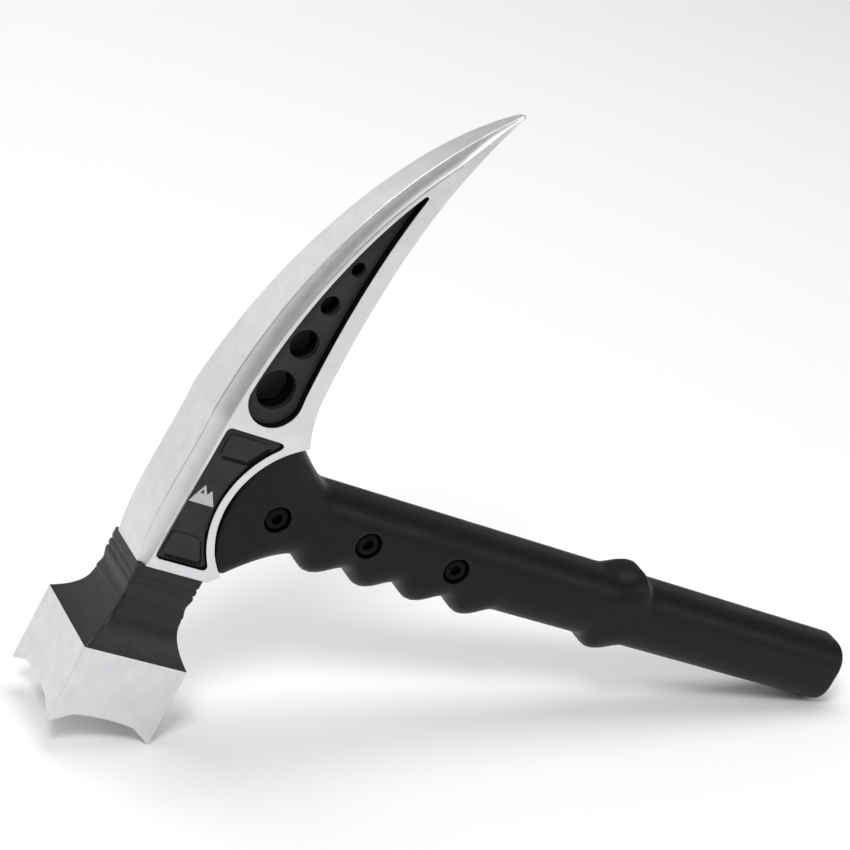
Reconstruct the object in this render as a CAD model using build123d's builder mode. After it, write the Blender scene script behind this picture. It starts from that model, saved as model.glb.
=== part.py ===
"""A one-handed spiked ice hammer: cast steel head, moulded handle and three through bolts.

The tool is drawn in its own side view, where x runs down the handle from the front of the poll, y runs
from the handle's centre line up to the pick, and z comes out of the shown side. That view is placed in
the world by the plane called side, so that the tool stands on two poll prongs and on the butt.
"""
import os
from math import atan, atan2, cos, pi, sin, sqrt

from build123d import *

os.makedirs("parts", exist_ok=True)

# ---- driving dimensions, millimetres and degrees ----
pick_reach = 142.0            # handle centre line to the pick's tip
pick_sweep = 53.0             # how far the tip hooks towards the handle, from the front of the spine
pick_base = 27.0              # height where the pick starts to thin and to curve
pick_depth = 32.0             # front to back across the pick's root
collar_flare = 3.8            # the root's back runs out over the handle
spine_front = 6.0             # front of the spine behind the front of the poll
spine_half = 10.0             # half the width of the flat spine at the body
bevel_width = 5.0             # hollow bevel from the spine's edge to the side face
bevel_hollow = 0.35
body_half = 11.5              # half the thickness of the body and the neck
pick_end_half = 4.7           # half the thickness that the side faces run down to at the tip's height
tip_length = 24.0             # last stretch, where the faces draw in to the point
tip_half = 0.9
body_bottom = -26.0           # where the plain steel meets the coated neck

poll_size = 36.4              # square striking block
poll_height = 27.0            # with its prongs
prong_height = 4.0
prong_width = 7.5             # at its root
prong_tip = 0.8
face_hollow = 0.8             # how far the face bows in between the prongs
poll_end = -80.5              # prong tips under the centre line
neck_front = 7.4
neck_size = 23.0
flare_height = 12.5

arc_radius = 29.2             # concave seat of the handle in the body
arc_x = arc_radius + 25.2    # its middle, so that the seat starts at the same place
arc_y = -1.0
seat_gap = 0.3                # handle's nose to its seat

handle_end = 279.0            # butt from the front of the poll
handle_depth = 24.4           # at the finger ridges' valleys
butt_depth = 22.4
handle_thickness = 21.4
handle_round = 8.2
nose_top_end = 60.0           # the nose stops widening the handle here, on the pick's side and below
nose_bottom_end = 57.4
ridge_start = 65.6            # first finger ridge under the handle
ridge_pitch = 19.7
ridge_count = 4
ridge_height = 4.4
ridge_rise = 8.2              # a ridge climbs over this length, and falls over the rest of its pitch
stop_x = 178.5                # finger stop under the rear grip
stop_height = 3.8
thumb_x = 185.0               # thumb stop over it, which climbs slowly and falls fast
thumb_height = 3.8
stop_short = 6.8
stop_long = 12.5
butt_round = 1.6

tang_depth = 15.0
tang_thickness = 6.0
tang_end = 123.0
tang_gap = 0.1
tang_root = 20.0

bolt_start = 44.0
bolt_pitch = 34.3
bolt_count = 3
bolt_head_radius = 3.95
bolt_radius = 2.0
bolt_gap = 0.1
bolt_sunk = 0.6
socket_size = 3.2
socket_depth = 2.0
counterbore_radius = 4.5
counterbore_depth = 4.2
sleeve_radius = 2.8
sleeve_gap = 0.1
sleeve_reach = 3.0            # its open end past the middle plane
bolt_length = 10.0            # under its head

panel_depth = 4.2             # pocket under the pick's side face
panel_plate = 1.9
panel_margin_front = 1.7
panel_margin_back = 6.0
panel_bottom = 28.0
panel_top = 109.0
hole_web = 1.0                # half the web between the blind holes of the two sides
badge_height = 0.4
body_panel_depth = 2.4
body_panel_plate = 1.4
panel_front_low = 5.1         # the body panel's front edge behind the spine's front
panel_front_high = 6.8
body_panel_top = 24.4
body_panel_bottom = -22.2
arc_rim = 2.9
pad_height = 0.6
panel_corner = 1.6
panel_gap = 0.1
badge_x = 16.9
badge_y = 1.2

# ---- how the tool stands ----
lean = atan2(-poll_end - butt_depth / 2, handle_end - poll_size)
world_left = poll_end * sin(lean)
world_right = handle_end * cos(lean) + butt_depth / 2 * sin(lean)
world_floor = poll_end * cos(lean) - poll_size * sin(lean)
side = Plane(
    origin=(-(world_left + world_right) / 2, 0, -world_floor),
    x_dir=(cos(lean), 0, -sin(lean)),
    z_dir=(0, -1, 0),
)


def across(height):
    """A section plane square to the head, at a height on the pick's side of the centre line."""
    return Plane(side.from_local_coords((0, height, 0)), x_dir=side.x_dir, z_dir=side.y_dir)


def along(x):
    """A section plane square to the handle, whose own x points to the pick."""
    return Plane(side.from_local_coords((x, 0, 0)), x_dir=side.y_dir, z_dir=side.x_dir)


def level(z):
    """The side view moved out to a height above the middle plane."""
    return side.offset(z)


# ---- curves of the pick ----
def bow(height, start, end, rise, done):
    """Part of a quarter ellipse: nothing at start, and rise at end, where that share of it is done."""
    here = max(0.0, (height - start) / (end - start)) * done
    return rise * (1 - sqrt(1 - here**2)) / (1 - sqrt(1 - done**2))


def spine_x(height):
    return spine_front + bow(height, 10.0, pick_reach, pick_sweep, 0.87)


def back_x(height):
    """The hook's inner edge, which flares out again at the collar over the handle."""
    root = spine_front + pick_depth
    hook = bow(height, 40.0, pick_reach, spine_front + pick_sweep + 2 * tip_half - root, 0.95)
    flare = collar_flare * max(0.0, (42.0 - height) / 17.0) ** 2
    return root + hook + flare


def draw_in(height):
    """Falls from one to nothing over the last stretch to the tip, as a quarter ellipse does."""
    done = max(0.0, (height - pick_reach + tip_length) / tip_length)
    return sqrt(max(0.0, 1 - done**2))


def side_half(height):
    slope = (body_half - pick_end_half) / (pick_reach - pick_base)
    straight = body_half - slope * max(0.0, height - pick_base)
    return tip_half + (straight - tip_half) * draw_in(height)


def edge_half(height):
    return max(tip_half * 0.8, side_half(height) * spine_half / body_half - 0.9 * draw_in(height))


def head_section(height, front, back, bevel, edge, half):
    """One section of the head: flat spine, hollow bevels, flat sides and flat back."""
    sunk = min(bevel_hollow, bevel / 12)
    middle = (front + bevel / 2 + sunk / 2, (edge + half) / 2 - sunk)
    with BuildSketch(across(height)) as section:
        with BuildLine():
            Line((front, -edge), (front, edge))
            ThreePointArc((front, edge), middle, (front + bevel, half))
            Line((front + bevel, half), (back, half))
            Line((back, half), (back, -half))
            Line((back, -half), (front + bevel, -half))
            ThreePointArc((front + bevel, -half), (middle[0], -middle[1]), (front, -edge))
        make_face()
    return section.sketch


# ---- head: one casting with pick, body, neck, poll and tang ----
body_back = back_x(25.0)
root_bevel = 2.4
pick_heights = [pick_base + (pick_reach - pick_base) * part / 10 for part in range(10)]
pick_heights += [pick_reach - tip_length / 10, pick_reach]
body_shape = (
    (body_bottom, neck_front, root_bevel, body_back),
    (body_bottom + 9, spine_front + 0.2, bevel_width - 0.8, body_back),
    (0.0, spine_front, bevel_width, body_back),
    (pick_base, spine_x(pick_base), bevel_width, back_x(pick_base)),
)


def pick_section(height):
    front, back = spine_x(height), back_x(height)
    bevel = min(bevel_width, 0.55 * (back - front))
    return head_section(height, front, back, bevel, edge_half(height), side_half(height))


def body_section(height, front, bevel, back):
    return head_section(height, front, back, bevel, edge_half(pick_base), body_half)


def square_section(height, middle, size):
    with BuildSketch(across(height)) as section:
        with Locations((middle, 0)):
            Rectangle(size, size)
    return section.sketch


neck_middle = neck_front + neck_size / 2
poll_top = poll_end + poll_height
flare_top = poll_top + flare_height
ring_cuts = (                 # middle height, width and depth of each ring around the neck
    (-29.4, 1.0, 0.7),
    (-31.7, 1.0, 0.7),
    (-36.2, 6.0, 0.5),
    (-39.9, 0.6, 0.4),
)


def flare_section(part):
    """The flare widens with the square of the way down from the neck to the poll."""
    size = neck_size + (poll_size - neck_size) * part**2
    middle = neck_middle + (poll_size / 2 - neck_middle) * part
    return square_section(flare_top - flare_height * part, middle, size)


def channel(middle, turned):
    """Corners and crown of the hollow cut across the poll's face, which leaves the prongs."""
    inner = poll_size / 2 - prong_width
    slope = (prong_width - prong_tip) / prong_height
    outer = poll_size / 2 - prong_tip + slope
    valley = poll_end + prong_height
    ends = [(middle - outer, poll_end - 1), (middle - inner, valley)]
    ends += [(middle + inner, valley), (middle + outer, poll_end - 1)]
    top = (middle, valley + face_hollow)
    if turned:
        return [(y, x) for x, y in ends], (top[1], top[0])
    return ends, top


with BuildPart() as head_casting:
    loft(sections=[pick_section(height) for height in pick_heights])
    loft(sections=[body_section(*values) for values in body_shape])
    # the concave seat of the handle, and the corner below it
    corner = neck_front + neck_size + 1
    with BuildSketch(side):
        with Locations((arc_x, arc_y)):
            Circle(arc_radius)
        with BuildLine():
            Polyline(
                (corner, body_bottom - 1),
                (corner, body_bottom),
                (corner + 4, body_bottom + 3.4),
                (corner + 20, body_bottom + 3.4),
                (corner + 20, body_bottom - 1),
                close=True,
            )
        make_face()
    extrude(amount=body_half + 5, both=True, mode=Mode.SUBTRACT)
    # neck, its rings and the flare
    with BuildSketch(across(body_bottom + 2)):
        with Locations((neck_middle, 0)):
            Rectangle(neck_size, neck_size)
    extrude(amount=flare_top - body_bottom - 2)
    for height, width, depth in ring_cuts:
        with BuildSketch(across(height - width / 2)):
            with Locations((neck_middle, 0)):
                Rectangle(neck_size + 8, neck_size + 8)
                Rectangle(neck_size - 2 * depth, neck_size - 2 * depth, mode=Mode.SUBTRACT)
        extrude(amount=width, mode=Mode.SUBTRACT)
    loft(sections=[flare_section(part / 4) for part in range(5)])
    # poll block, with a prong left at each corner of its face
    with BuildSketch(across(poll_end)):
        with Locations((poll_size / 2, 0)):
            Rectangle(poll_size, poll_size)
    extrude(amount=poll_height)
    for plane, middle, turned in ((side, poll_size / 2, False), (along(poll_size / 2), 0.0, True)):
        with BuildSketch(plane):
            with BuildLine():
                ends, top = channel(middle, turned)
                Line(ends[0], ends[1])
                ThreePointArc(ends[1], top, ends[2])
                Line(ends[2], ends[3])
                Line(ends[3], ends[0])
            make_face()
        extrude(amount=poll_size, both=True, mode=Mode.SUBTRACT)
    # tang, drilled for the bolts
    with BuildSketch(side):
        with Locations((tang_root, 0)):
            Rectangle(tang_end - tang_root, tang_depth, align=(Align.MIN, Align.CENTER))
    extrude(amount=tang_thickness / 2, both=True)
    with BuildSketch(side):
        with Locations(*[(bolt_start + bolt_pitch * count, 0) for count in range(bolt_count)]):
            Circle(sleeve_radius + sleeve_gap)
    extrude(amount=tang_thickness, both=True, mode=Mode.SUBTRACT)

# ---- pockets for the black panels, and the blind holes that show through the pick's ----
blind_holes = (               # place and radius, largest at the root
    (23.0, 39.3, 6.4),
    (24.9, 55.2, 4.8),
    (27.1, 68.9, 3.2),
    (30.4, 82.0, 2.35),
)
face_slope = atan((body_half - pick_end_half) / (pick_reach - pick_base))


def pick_face(shown):
    """The pick's tilted side face, whose own y runs from the pick's root to the tip."""
    sign = 1 if shown else -1
    root = side.from_local_coords((0, pick_base, sign * body_half))
    outward = side.y_dir * sin(face_slope) + side.z_dir * (sign * cos(face_slope))
    return Plane(root, x_dir=side.x_dir, z_dir=outward)


def pick_panel(shown, out, trim):
    """The pick panel's outline, out from the face: along the rim, along the hook, and round below."""
    flip = 1 if shown else -1
    front_heights = (36.0, 60.0, 84.0, panel_top)
    back_heights = (panel_top, 84.0, 60.0, 38.0)
    rim = bevel_width + panel_margin_front + trim
    front = [(spine_x(h) + rim, flip * (h - pick_base)) for h in front_heights]
    back = [(back_x(h) - panel_margin_back - trim, flip * (h - pick_base)) for h in back_heights]
    top = ((front[-1][0] + back[0][0]) / 2 + 0.6, flip * (panel_top + 1.4 - trim - pick_base))
    bottom = ((front[0][0] + back[-1][0]) / 2, flip * (panel_bottom + trim - pick_base))
    with BuildSketch(pick_face(shown).offset(out)) as outline:
        with BuildLine():
            Spline(*front)
            ThreePointArc(front[-1], top, back[0])
            Spline(*back)
            ThreePointArc(back[-1], bottom, front[0])
        make_face()
    return outline.sketch


def body_panel(plane, trim):
    """The fan-shaped body panel: a straight front edge, and an arc that keeps a rim round the seat."""
    low = (spine_front + panel_front_low, body_panel_bottom)
    high = (spine_front + panel_front_high, body_panel_top)
    with BuildSketch(plane) as outline:
        with BuildLine():
            Polyline(low, high, (arc_x, body_panel_top), (arc_x, body_panel_bottom), close=True)
        make_face()
        with Locations((arc_x, arc_y)):
            Circle(arc_radius + arc_rim, mode=Mode.SUBTRACT)
        fillet(outline.vertices(), panel_corner)
        if trim:
            offset(amount=-trim)
    return outline.sketch


def hole_sketch(shown, out, place):
    x, height, radius = place
    with BuildSketch(pick_face(shown).offset(out)) as circle:
        with Locations((x, (height - pick_base) * (1 if shown else -1))):
            Circle(radius)
    return circle.sketch


with head_casting:
    for shown in (True, False):
        extrude(pick_panel(shown, 2, 0), amount=-panel_depth - 2, mode=Mode.SUBTRACT)
        for place in blind_holes:
            deep = side_half(place[1]) - panel_depth - hole_web
            extrude(hole_sketch(shown, 1 - panel_depth, place), amount=-deep - 1, mode=Mode.SUBTRACT)
    for sign in (1, -1):
        pocket = body_panel(level(sign * (body_half + 2)), 0)
        extrude(pocket, amount=-sign * (body_panel_depth + 2), mode=Mode.SUBTRACT)

head_casting.part.label = "head_casting"
export_step(head_casting.part, "parts/head_casting.step")

# ---- panels: moulded inserts bonded into the pockets ----
upper_pad = ((14.6, 15.2), (24.2, 15.2), (29.6, 22.6), (15.0, 22.6))
lower_pad = ((12.9, -12.6), (22.4, -12.6), (26.2, -20.3), (12.6, -20.3))

for name, shown in (("left", True), ("right", False)):
    flip = 1 if shown else -1
    with BuildPart() as pick_inlay:
        extrude(pick_panel(shown, -panel_depth, panel_gap), amount=panel_plate)
        for place in blind_holes:
            hole = hole_sketch(shown, panel_plate - panel_depth + 1, place)
            extrude(hole, amount=-panel_plate - 2, mode=Mode.SUBTRACT)
    pick_inlay.part.label = f"pick_inlay_{name}"
    export_step(pick_inlay.part, f"parts/pick_inlay_{name}.step")

    with BuildPart() as body_inlay:
        base = level(flip * (body_half - body_panel_depth))
        extrude(body_panel(base, panel_gap), amount=flip * body_panel_plate)
        for corners in (upper_pad, lower_pad):
            with BuildSketch(base.offset(flip * body_panel_plate)) as pad:
                with BuildLine():
                    Polyline(*corners, close=True)
                make_face()
                fillet(pad.vertices(), 1.0)
            extrude(amount=flip * pad_height)
    body_inlay.part.label = f"body_inlay_{name}"
    export_step(body_inlay.part, f"parts/body_inlay_{name}.step")

# ---- badge: a plain pair of peaks on the shown side ----
peaks = ((-4.4, -2.9), (-1.4, 3.3), (0.5, 0.3), (1.6, 1.9), (4.4, -2.9))
snow = ((-2.1, 0.4), (-1.4, 1.9), (-0.5, 0.4))
with BuildPart() as badge:
    with BuildSketch(level(body_half - body_panel_depth + body_panel_plate)):
        with BuildLine():
            Polyline(*[(badge_x + x, badge_y + y) for x, y in peaks], close=True)
        make_face()
        with BuildLine():
            Polyline(*[(badge_x + x, badge_y + y) for x, y in snow], close=True)
        make_face(mode=Mode.SUBTRACT)
    extrude(amount=badge_height)
badge.part.label = "badge"
export_step(badge.part, "parts/badge.step")

# ---- handle: one moulding on the tang ----
def half_depth(x):
    share = max(0.0, (x - nose_top_end) / (handle_end - nose_top_end))
    return (handle_depth + (butt_depth - handle_depth) * share) / 2


def swell(x, peak, rise, fall):
    """A rounded hump of height one, as half a cosine wave up and half a wave down."""
    away = (peak - x) / rise if x < peak else (x - peak) / fall
    return (1 + cos(pi * away)) / 2 if away < 1 else 0.0


def handle_top(x):
    nose = max(0.0, (nose_top_end - x) / (nose_top_end - 41.6))
    return half_depth(x) + 13.0 * nose**1.3 + thumb_height * swell(x, thumb_x, stop_long, stop_short)


def handle_bottom(x):
    nose = max(0.0, (nose_bottom_end - x) / 18.0)
    depth = half_depth(x) + 11.0 * nose**1.5 + stop_height * swell(x, stop_x, stop_short, stop_long)
    for number in range(ridge_count):
        peak = ridge_start + number * ridge_pitch
        depth += ridge_height * swell(x, peak, ridge_rise, ridge_pitch - ridge_rise)
    return -depth


def handle_section(x, inset=0.0):
    top, bottom = handle_top(x) - inset, handle_bottom(x) + inset
    with BuildSketch(along(x)) as section:
        with Locations(((top + bottom) / 2, 0)):
            RectangleRounded(top - bottom, handle_thickness - 2 * inset, handle_round - inset)
    return section.sketch


def butt_section(turn):
    """The butt's edge turns in as a quarter circle."""
    return handle_section(handle_end - butt_round * (1 - sin(turn)), butt_round * (1 - cos(turn)))


handle_places = [24.0, 29.0, 33.5, 37.5, 41.0, 44.5, 48.0, 52.0]
ridge_parts = (-1.0, -0.7, -0.45, -0.22, 0.0, 0.2, 0.42, 0.68)
for number in range(ridge_count):
    peak = ridge_start + number * ridge_pitch
    for part in ridge_parts:
        handle_places.append(peak + part * (ridge_rise if part < 0 else ridge_pitch - ridge_rise))
handle_places.append(ridge_start + ridge_count * ridge_pitch - ridge_rise)
stop_steps = 14
stop_from = min(stop_x - stop_short, thumb_x - stop_long)
stop_to = max(stop_x + stop_long, thumb_x + stop_short)
handle_places += [stop_from + (stop_to - stop_from) * part / stop_steps for part in range(stop_steps + 1)]
handle_places += [handle_end - butt_round]
bolt_places = [(bolt_start + bolt_pitch * count, 0) for count in range(bolt_count)]
handle_half = handle_thickness / 2

with BuildPart() as handle:
    loft(sections=[handle_section(x) for x in handle_places], ruled=True)
    loft(sections=[butt_section(pi / 2 * part / 3) for part in range(4)], ruled=True)
    # the nose follows the seat
    with BuildSketch(side):
        with Locations((0, 0)):
            Rectangle(2 * arc_x, 6 * handle_depth)
        with Locations((arc_x, arc_y)):
            Circle(arc_radius - seat_gap, mode=Mode.SUBTRACT)
    extrude(amount=handle_half + 5, both=True, mode=Mode.SUBTRACT)
    # slot for the tang
    with BuildSketch(side):
        with Locations((tang_root - 5, 0)):
            Rectangle(tang_end + 5 - tang_root + 0.5, tang_depth + 2 * tang_gap, align=(Align.MIN, Align.CENTER))
    extrude(amount=tang_thickness / 2 + tang_gap, both=True, mode=Mode.SUBTRACT)
    # bolt holes with a counterbore on each side
    with BuildSketch(level(-handle_half)):
        with Locations(*bolt_places):
            Circle(sleeve_radius + sleeve_gap)
    extrude(amount=handle_half + sleeve_reach + sleeve_gap, mode=Mode.SUBTRACT)
    with BuildSketch(side):
        with Locations(*bolt_places):
            Circle(bolt_radius + bolt_gap)
    extrude(amount=handle_half + 1, mode=Mode.SUBTRACT)
    for sign in (1, -1):
        with BuildSketch(level(sign * (handle_half - counterbore_depth))):
            with Locations(*bolt_places):
                Circle(counterbore_radius)
        extrude(amount=sign * (counterbore_depth + 1), mode=Mode.SUBTRACT)
handle.part.label = "handle"
export_step(handle.part, "parts/handle.step")

# ---- bolts and their sleeve nuts ----
head_base = handle_half - counterbore_depth
head_height = counterbore_depth - bolt_sunk

for number, place in enumerate(bolt_places, start=1):
    with BuildPart() as bolt:
        with BuildSketch(level(head_base)):
            with Locations(place):
                Circle(bolt_head_radius)
        extrude(amount=head_height)
        with BuildSketch(level(head_base + head_height)):
            with Locations(place):
                RegularPolygon(socket_size / 2, 6, major_radius=False)
        extrude(amount=-socket_depth, mode=Mode.SUBTRACT)
        with BuildSketch(level(head_base - bolt_length)):
            with Locations(place):
                Circle(bolt_radius)
        extrude(amount=bolt_length)
    bolt.part.label = f"bolt_{number}"
    export_step(bolt.part, f"parts/bolt_{number}.step")

    with BuildPart() as sleeve:
        with BuildSketch(level(-head_base - head_height)):
            with Locations(place):
                Circle(bolt_head_radius)
                RegularPolygon(socket_size / 2, 6, major_radius=False, mode=Mode.SUBTRACT)
        extrude(amount=socket_depth)
        with BuildSketch(level(-head_base - head_height + socket_depth)):
            with Locations(place):
                Circle(bolt_head_radius)
        extrude(amount=head_height - socket_depth)
        with BuildSketch(level(-head_base)):
            with Locations(place):
                Circle(sleeve_radius)
        extrude(amount=head_base + sleeve_reach)
        with BuildSketch(level(head_base - bolt_length - bolt_gap)):
            with Locations(place):
                Circle(bolt_radius + bolt_gap / 2)
        extrude(amount=bolt_length + sleeve_reach, mode=Mode.SUBTRACT)
    sleeve.part.label = f"sleeve_nut_{number}"
    export_step(sleeve.part, f"parts/sleeve_nut_{number}.step")
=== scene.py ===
"""Ice hammer look: the visible surfaces of a one-handed spiked ice hammer.

Shapes are worked out in the tool's own side view, in millimetres: x runs down the handle from the front
of the poll, y from the handle's centre line up to the pick, and z out of the shown side. The function
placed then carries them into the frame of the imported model, in metres.
"""

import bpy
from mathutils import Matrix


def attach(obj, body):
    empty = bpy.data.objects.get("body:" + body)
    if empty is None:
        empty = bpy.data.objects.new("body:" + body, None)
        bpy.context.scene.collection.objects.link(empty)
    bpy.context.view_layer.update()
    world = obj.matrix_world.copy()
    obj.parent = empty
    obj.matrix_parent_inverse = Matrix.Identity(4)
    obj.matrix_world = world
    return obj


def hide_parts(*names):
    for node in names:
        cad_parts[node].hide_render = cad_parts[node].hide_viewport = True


bl_info = {
    "name": "Ice hammer look",
    "version": (1, 0, 0),
    "blender": (4, 5, 0),
    "location": "3D view > Sidebar > Ice hammer",
    "description": "Builds the pick, poll, inlays, handle and bolts of a one-handed ice hammer",
    "category": "Add Mesh",
}

from math import atan, atan2, cos, pi, radians, sin, sqrt
from types import SimpleNamespace

import bmesh
import bpy
import numpy as np
from mathutils import Quaternion, Vector

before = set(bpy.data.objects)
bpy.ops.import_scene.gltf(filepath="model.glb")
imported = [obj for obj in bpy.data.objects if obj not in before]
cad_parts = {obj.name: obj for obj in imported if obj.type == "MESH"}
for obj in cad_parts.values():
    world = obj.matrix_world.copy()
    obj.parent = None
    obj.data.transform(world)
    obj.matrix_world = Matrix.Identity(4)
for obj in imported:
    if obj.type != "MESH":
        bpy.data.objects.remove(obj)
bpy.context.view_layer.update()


# ---- colours and sizes that a user would change ----
def linear(hexed):
    """sRGB hex to a linear colour: each channel through the standard curve with its straight foot."""
    channels = [int(hexed[start:start + 2], 16) / 255 for start in (1, 3, 5)]
    return (*[c / 12.92 if c <= 0.04045 else ((c + 0.055) / 1.055) ** 2.4 for c in channels], 1.0)


def length(name, millimetres, text):
    return bpy.props.FloatProperty(
        name=name, description=text, default=millimetres / 1000, unit="LENGTH", precision=4
    )


def colour(name, hexed, text):
    return bpy.props.FloatVectorProperty(
        name=name, description=text, default=linear(hexed), size=4, subtype="COLOR", min=0, max=1
    )


class HeadSizes(bpy.types.PropertyGroup):
    pick_reach: length("Pick reach", 142, "Handle centre line to the tip")
    pick_sweep: length("Pick sweep", 53, "How far the tip hooks towards the handle")
    pick_base: length("Pick base", 27, "Height where the pick starts to thin")
    pick_depth: length("Pick depth", 32, "Front to back at the pick's root")
    collar_flare: length("Collar flare", 3.8, "How far the root runs out over the handle")
    spine_front: length("Spine front", 6, "Front of the spine behind the front of the poll")
    spine_half: length("Spine half width", 10, "Half the flat spine's width before its edge")
    bevel_width: length("Bevel width", 5, "Hollow bevel from the spine to the side face")
    bevel_hollow: length("Bevel hollow", 0.35, "How deep the bevel is hollowed")
    body_half: length("Body half thickness", 11.5, "Half the thickness of the body")
    pick_end_half: length("Tip side half", 4.7, "Half thickness that the sides run down to")
    tip_length: length("Tip length", 24, "Last stretch, drawn in to the point")
    tip_half: length("Tip half", 0.5, "Half the thickness of the point")
    body_bottom: length("Body bottom", -26, "Where bare steel meets the coated neck")
    body_foot: length("Body foot", 31.4, "Back of the body at its bottom")
    seat_radius: length("Seat radius", 29.2, "Concave seat of the handle")
    seat_x: length("Seat centre x", 54.4, "Middle of the seat's circle down the handle")
    seat_y: length("Seat centre y", -1, "Middle of the seat's circle over the centre line")
    seat_low_x: length("Seat's low end x", 35.07, "Where the seat meets the trimmed corner")
    seat_low_y: length("Seat's low end y", -22.88, "Where the seat meets the trimmed corner")
    neck_front: length("Neck front", 7.4, "Front of the square neck")
    neck_size: length("Neck size", 23, "Side of the square neck")
    flare_top: length("Flare top", -41, "Where the neck starts to widen")
    poll_top: length("Poll top", -53.5, "Where the flare reaches the block")
    poll_end: length("Poll end", -80.5, "Prong tips")
    poll_size: length("Poll size", 36.4, "Side of the square block")
    prong_height: length("Prong height", 4, "Height of the corner prongs")
    prong_width: length("Prong width", 7.5, "Width of a prong at its root")
    prong_tip: length("Prong tip", 0.8, "Width of a prong at its tip")
    face_hollow: length("Face hollow", 0.8, "How far the face bows in between the prongs")
    edge_round: length("Edge round", 0.35, "Rounding of the casting's ground edges")


class InlaySizes(bpy.types.PropertyGroup):
    pocket_depth: length("Pick pocket depth", 4.2, "Pocket under the pick's side face")
    plate: length("Pick inlay thickness", 1.9, "Thickness of the pick's inlay")
    margin_front: length("Front rim", 1.7, "Steel rim between bevel and inlay")
    margin_back: length("Back rim", 6, "Steel rim along the hook")
    bottom: length("Inlay bottom", 28, "Lowest point of the pick's inlay")
    top: length("Inlay top", 109, "Where the inlay's point starts")
    hole_web: length("Hole web", 1, "Half the web between opposite holes")
    body_pocket_depth: length("Body pocket depth", 2.4, "Pocket under the body's side face")
    body_plate: length("Body inlay thickness", 1.4, "Thickness of the body's inlay")
    arc_rim: length("Arc rim", 2.9, "Steel rim round the handle's seat")
    corner: length("Corner", 1.6, "Corner radius of the body's inlay")
    pad_height: length("Pad height", 0.5, "Raised pads on the body's inlay")
    gap: length("Gap", 0.1, "Clearance round an inlay")


class HandleSizes(bpy.types.PropertyGroup):
    end: length("Handle end", 279, "Butt from the front of the poll")
    depth: length("Depth", 24.4, "Depth at the finger ridges' valleys")
    butt_depth: length("Butt depth", 22.4, "Depth at the butt")
    thickness: length("Thickness", 21.4, "Side to side")
    corner: length("Corner", 8.2, "Corner radius of the section")
    nose_radius: length("Nose radius", 27.9, "Nose that fits the head's seat")
    nose_round: length("Nose round", 2.2, "Rounding of the nose's edge")
    ridge_start: length("First ridge", 65.6, "Place of the first finger ridge")
    ridge_pitch: length("Ridge pitch", 19.7, "From one finger ridge to the next")
    ridge_height: length("Ridge height", 4.4, "Height of a finger ridge")
    ridge_rise: length("Ridge rise", 8.2, "Length over which a ridge climbs")
    stop_height: length("Stop height", 3.8, "Height of the finger stop and the thumb stop")
    butt_round: length("Butt round", 1.8, "Rounding of the butt's edge")


class BoltSizes(bpy.types.PropertyGroup):
    start: length("First bolt", 44, "First bolt from the front of the poll")
    pitch: length("Bolt pitch", 34.3, "From one bolt to the next")
    bore: length("Counterbore radius", 4.5, "Radius of the counterbore")
    bore_depth: length("Counterbore depth", 4.2, "Depth of the counterbore")
    head: length("Head radius", 3.95, "Radius of a bolt's head")
    head_height: length("Head height", 3.6, "Height of a bolt's head")
    shank: length("Shank radius", 2, "Radius of the shank")
    sleeve: length("Sleeve radius", 2.8, "Radius of the sleeve nut's barrel")
    socket: length("Socket", 3.2, "Across the flats of the hexagon socket")
    socket_depth: length("Socket depth", 2, "Depth of the hexagon socket")


class Finishes(bpy.types.PropertyGroup):
    steel_light: colour("Steel, light", "#E2E2E4", "Blasted steel where it is brightest")
    steel_dark: colour("Steel, dark", "#D8D8DB", "Blasted steel where it is dullest")
    coat: colour("Neck coating", "#1F1F20", "Satin black coating on the neck")
    inlay: colour("Inlays", "#282829", "Textured black inlays")
    # near black filler: partly the pockets' real black paint, made darker than the inlays as painted shade on the
    # pockets' walls, in the seat's gap and under the pads
    pocket: colour("Pocket", "#08080A", "Black filler on the pockets' walls")
    nylon: colour("Handle", "#09080B", "Moulded black nylon")
    # painted highlight: the paler colour the handle turns to on its convex edges
    nylon_highlight: colour("Handle, rubbed", "#16191B", "Nylon rubbed on its high edges")
    bolt: colour("Bolts", "#16171A", "Black oxide steel")
    badge: colour("Badge", "#BEBEC0", "Pale print")
    floor: colour("Floor", "#FDFDFD", "Plain pale floor")


class StageSizes(bpy.types.PropertyGroup):
    azimuth: bpy.props.FloatProperty(
        name="Azimuth", description="Camera's turn from the shown side", default=radians(-29.853), subtype="ANGLE"
    )
    elevation: bpy.props.FloatProperty(
        name="Elevation", description="Camera's height as an angle", default=radians(24.881), subtype="ANGLE"
    )
    roll: bpy.props.FloatProperty(
        name="Roll", description="Camera's turn about its own view", default=radians(14.515), subtype="ANGLE"
    )
    distance: length("Distance", 928.35, "Camera to the point it aims at")
    aim: bpy.props.FloatVectorProperty(
        name="Aim", description="Point the camera aims at", default=(-0.034735, 0, 0.103243), subtype="XYZ", unit="LENGTH"
    )
    floor: length("Floor", 6000, "Side of the floor")


GROUPS = {
    "ice_head": HeadSizes,
    "ice_inlay": InlaySizes,
    "ice_handle": HandleSizes,
    "ice_bolt": BoltSizes,
    "ice_finish": Finishes,
    "ice_stage": StageSizes,
}


def millimetres(group):
    """A group's lengths by name, in millimetres."""
    return SimpleNamespace(**{name: getattr(group, name) * 1000 for name in type(group).__annotations__})


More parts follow.
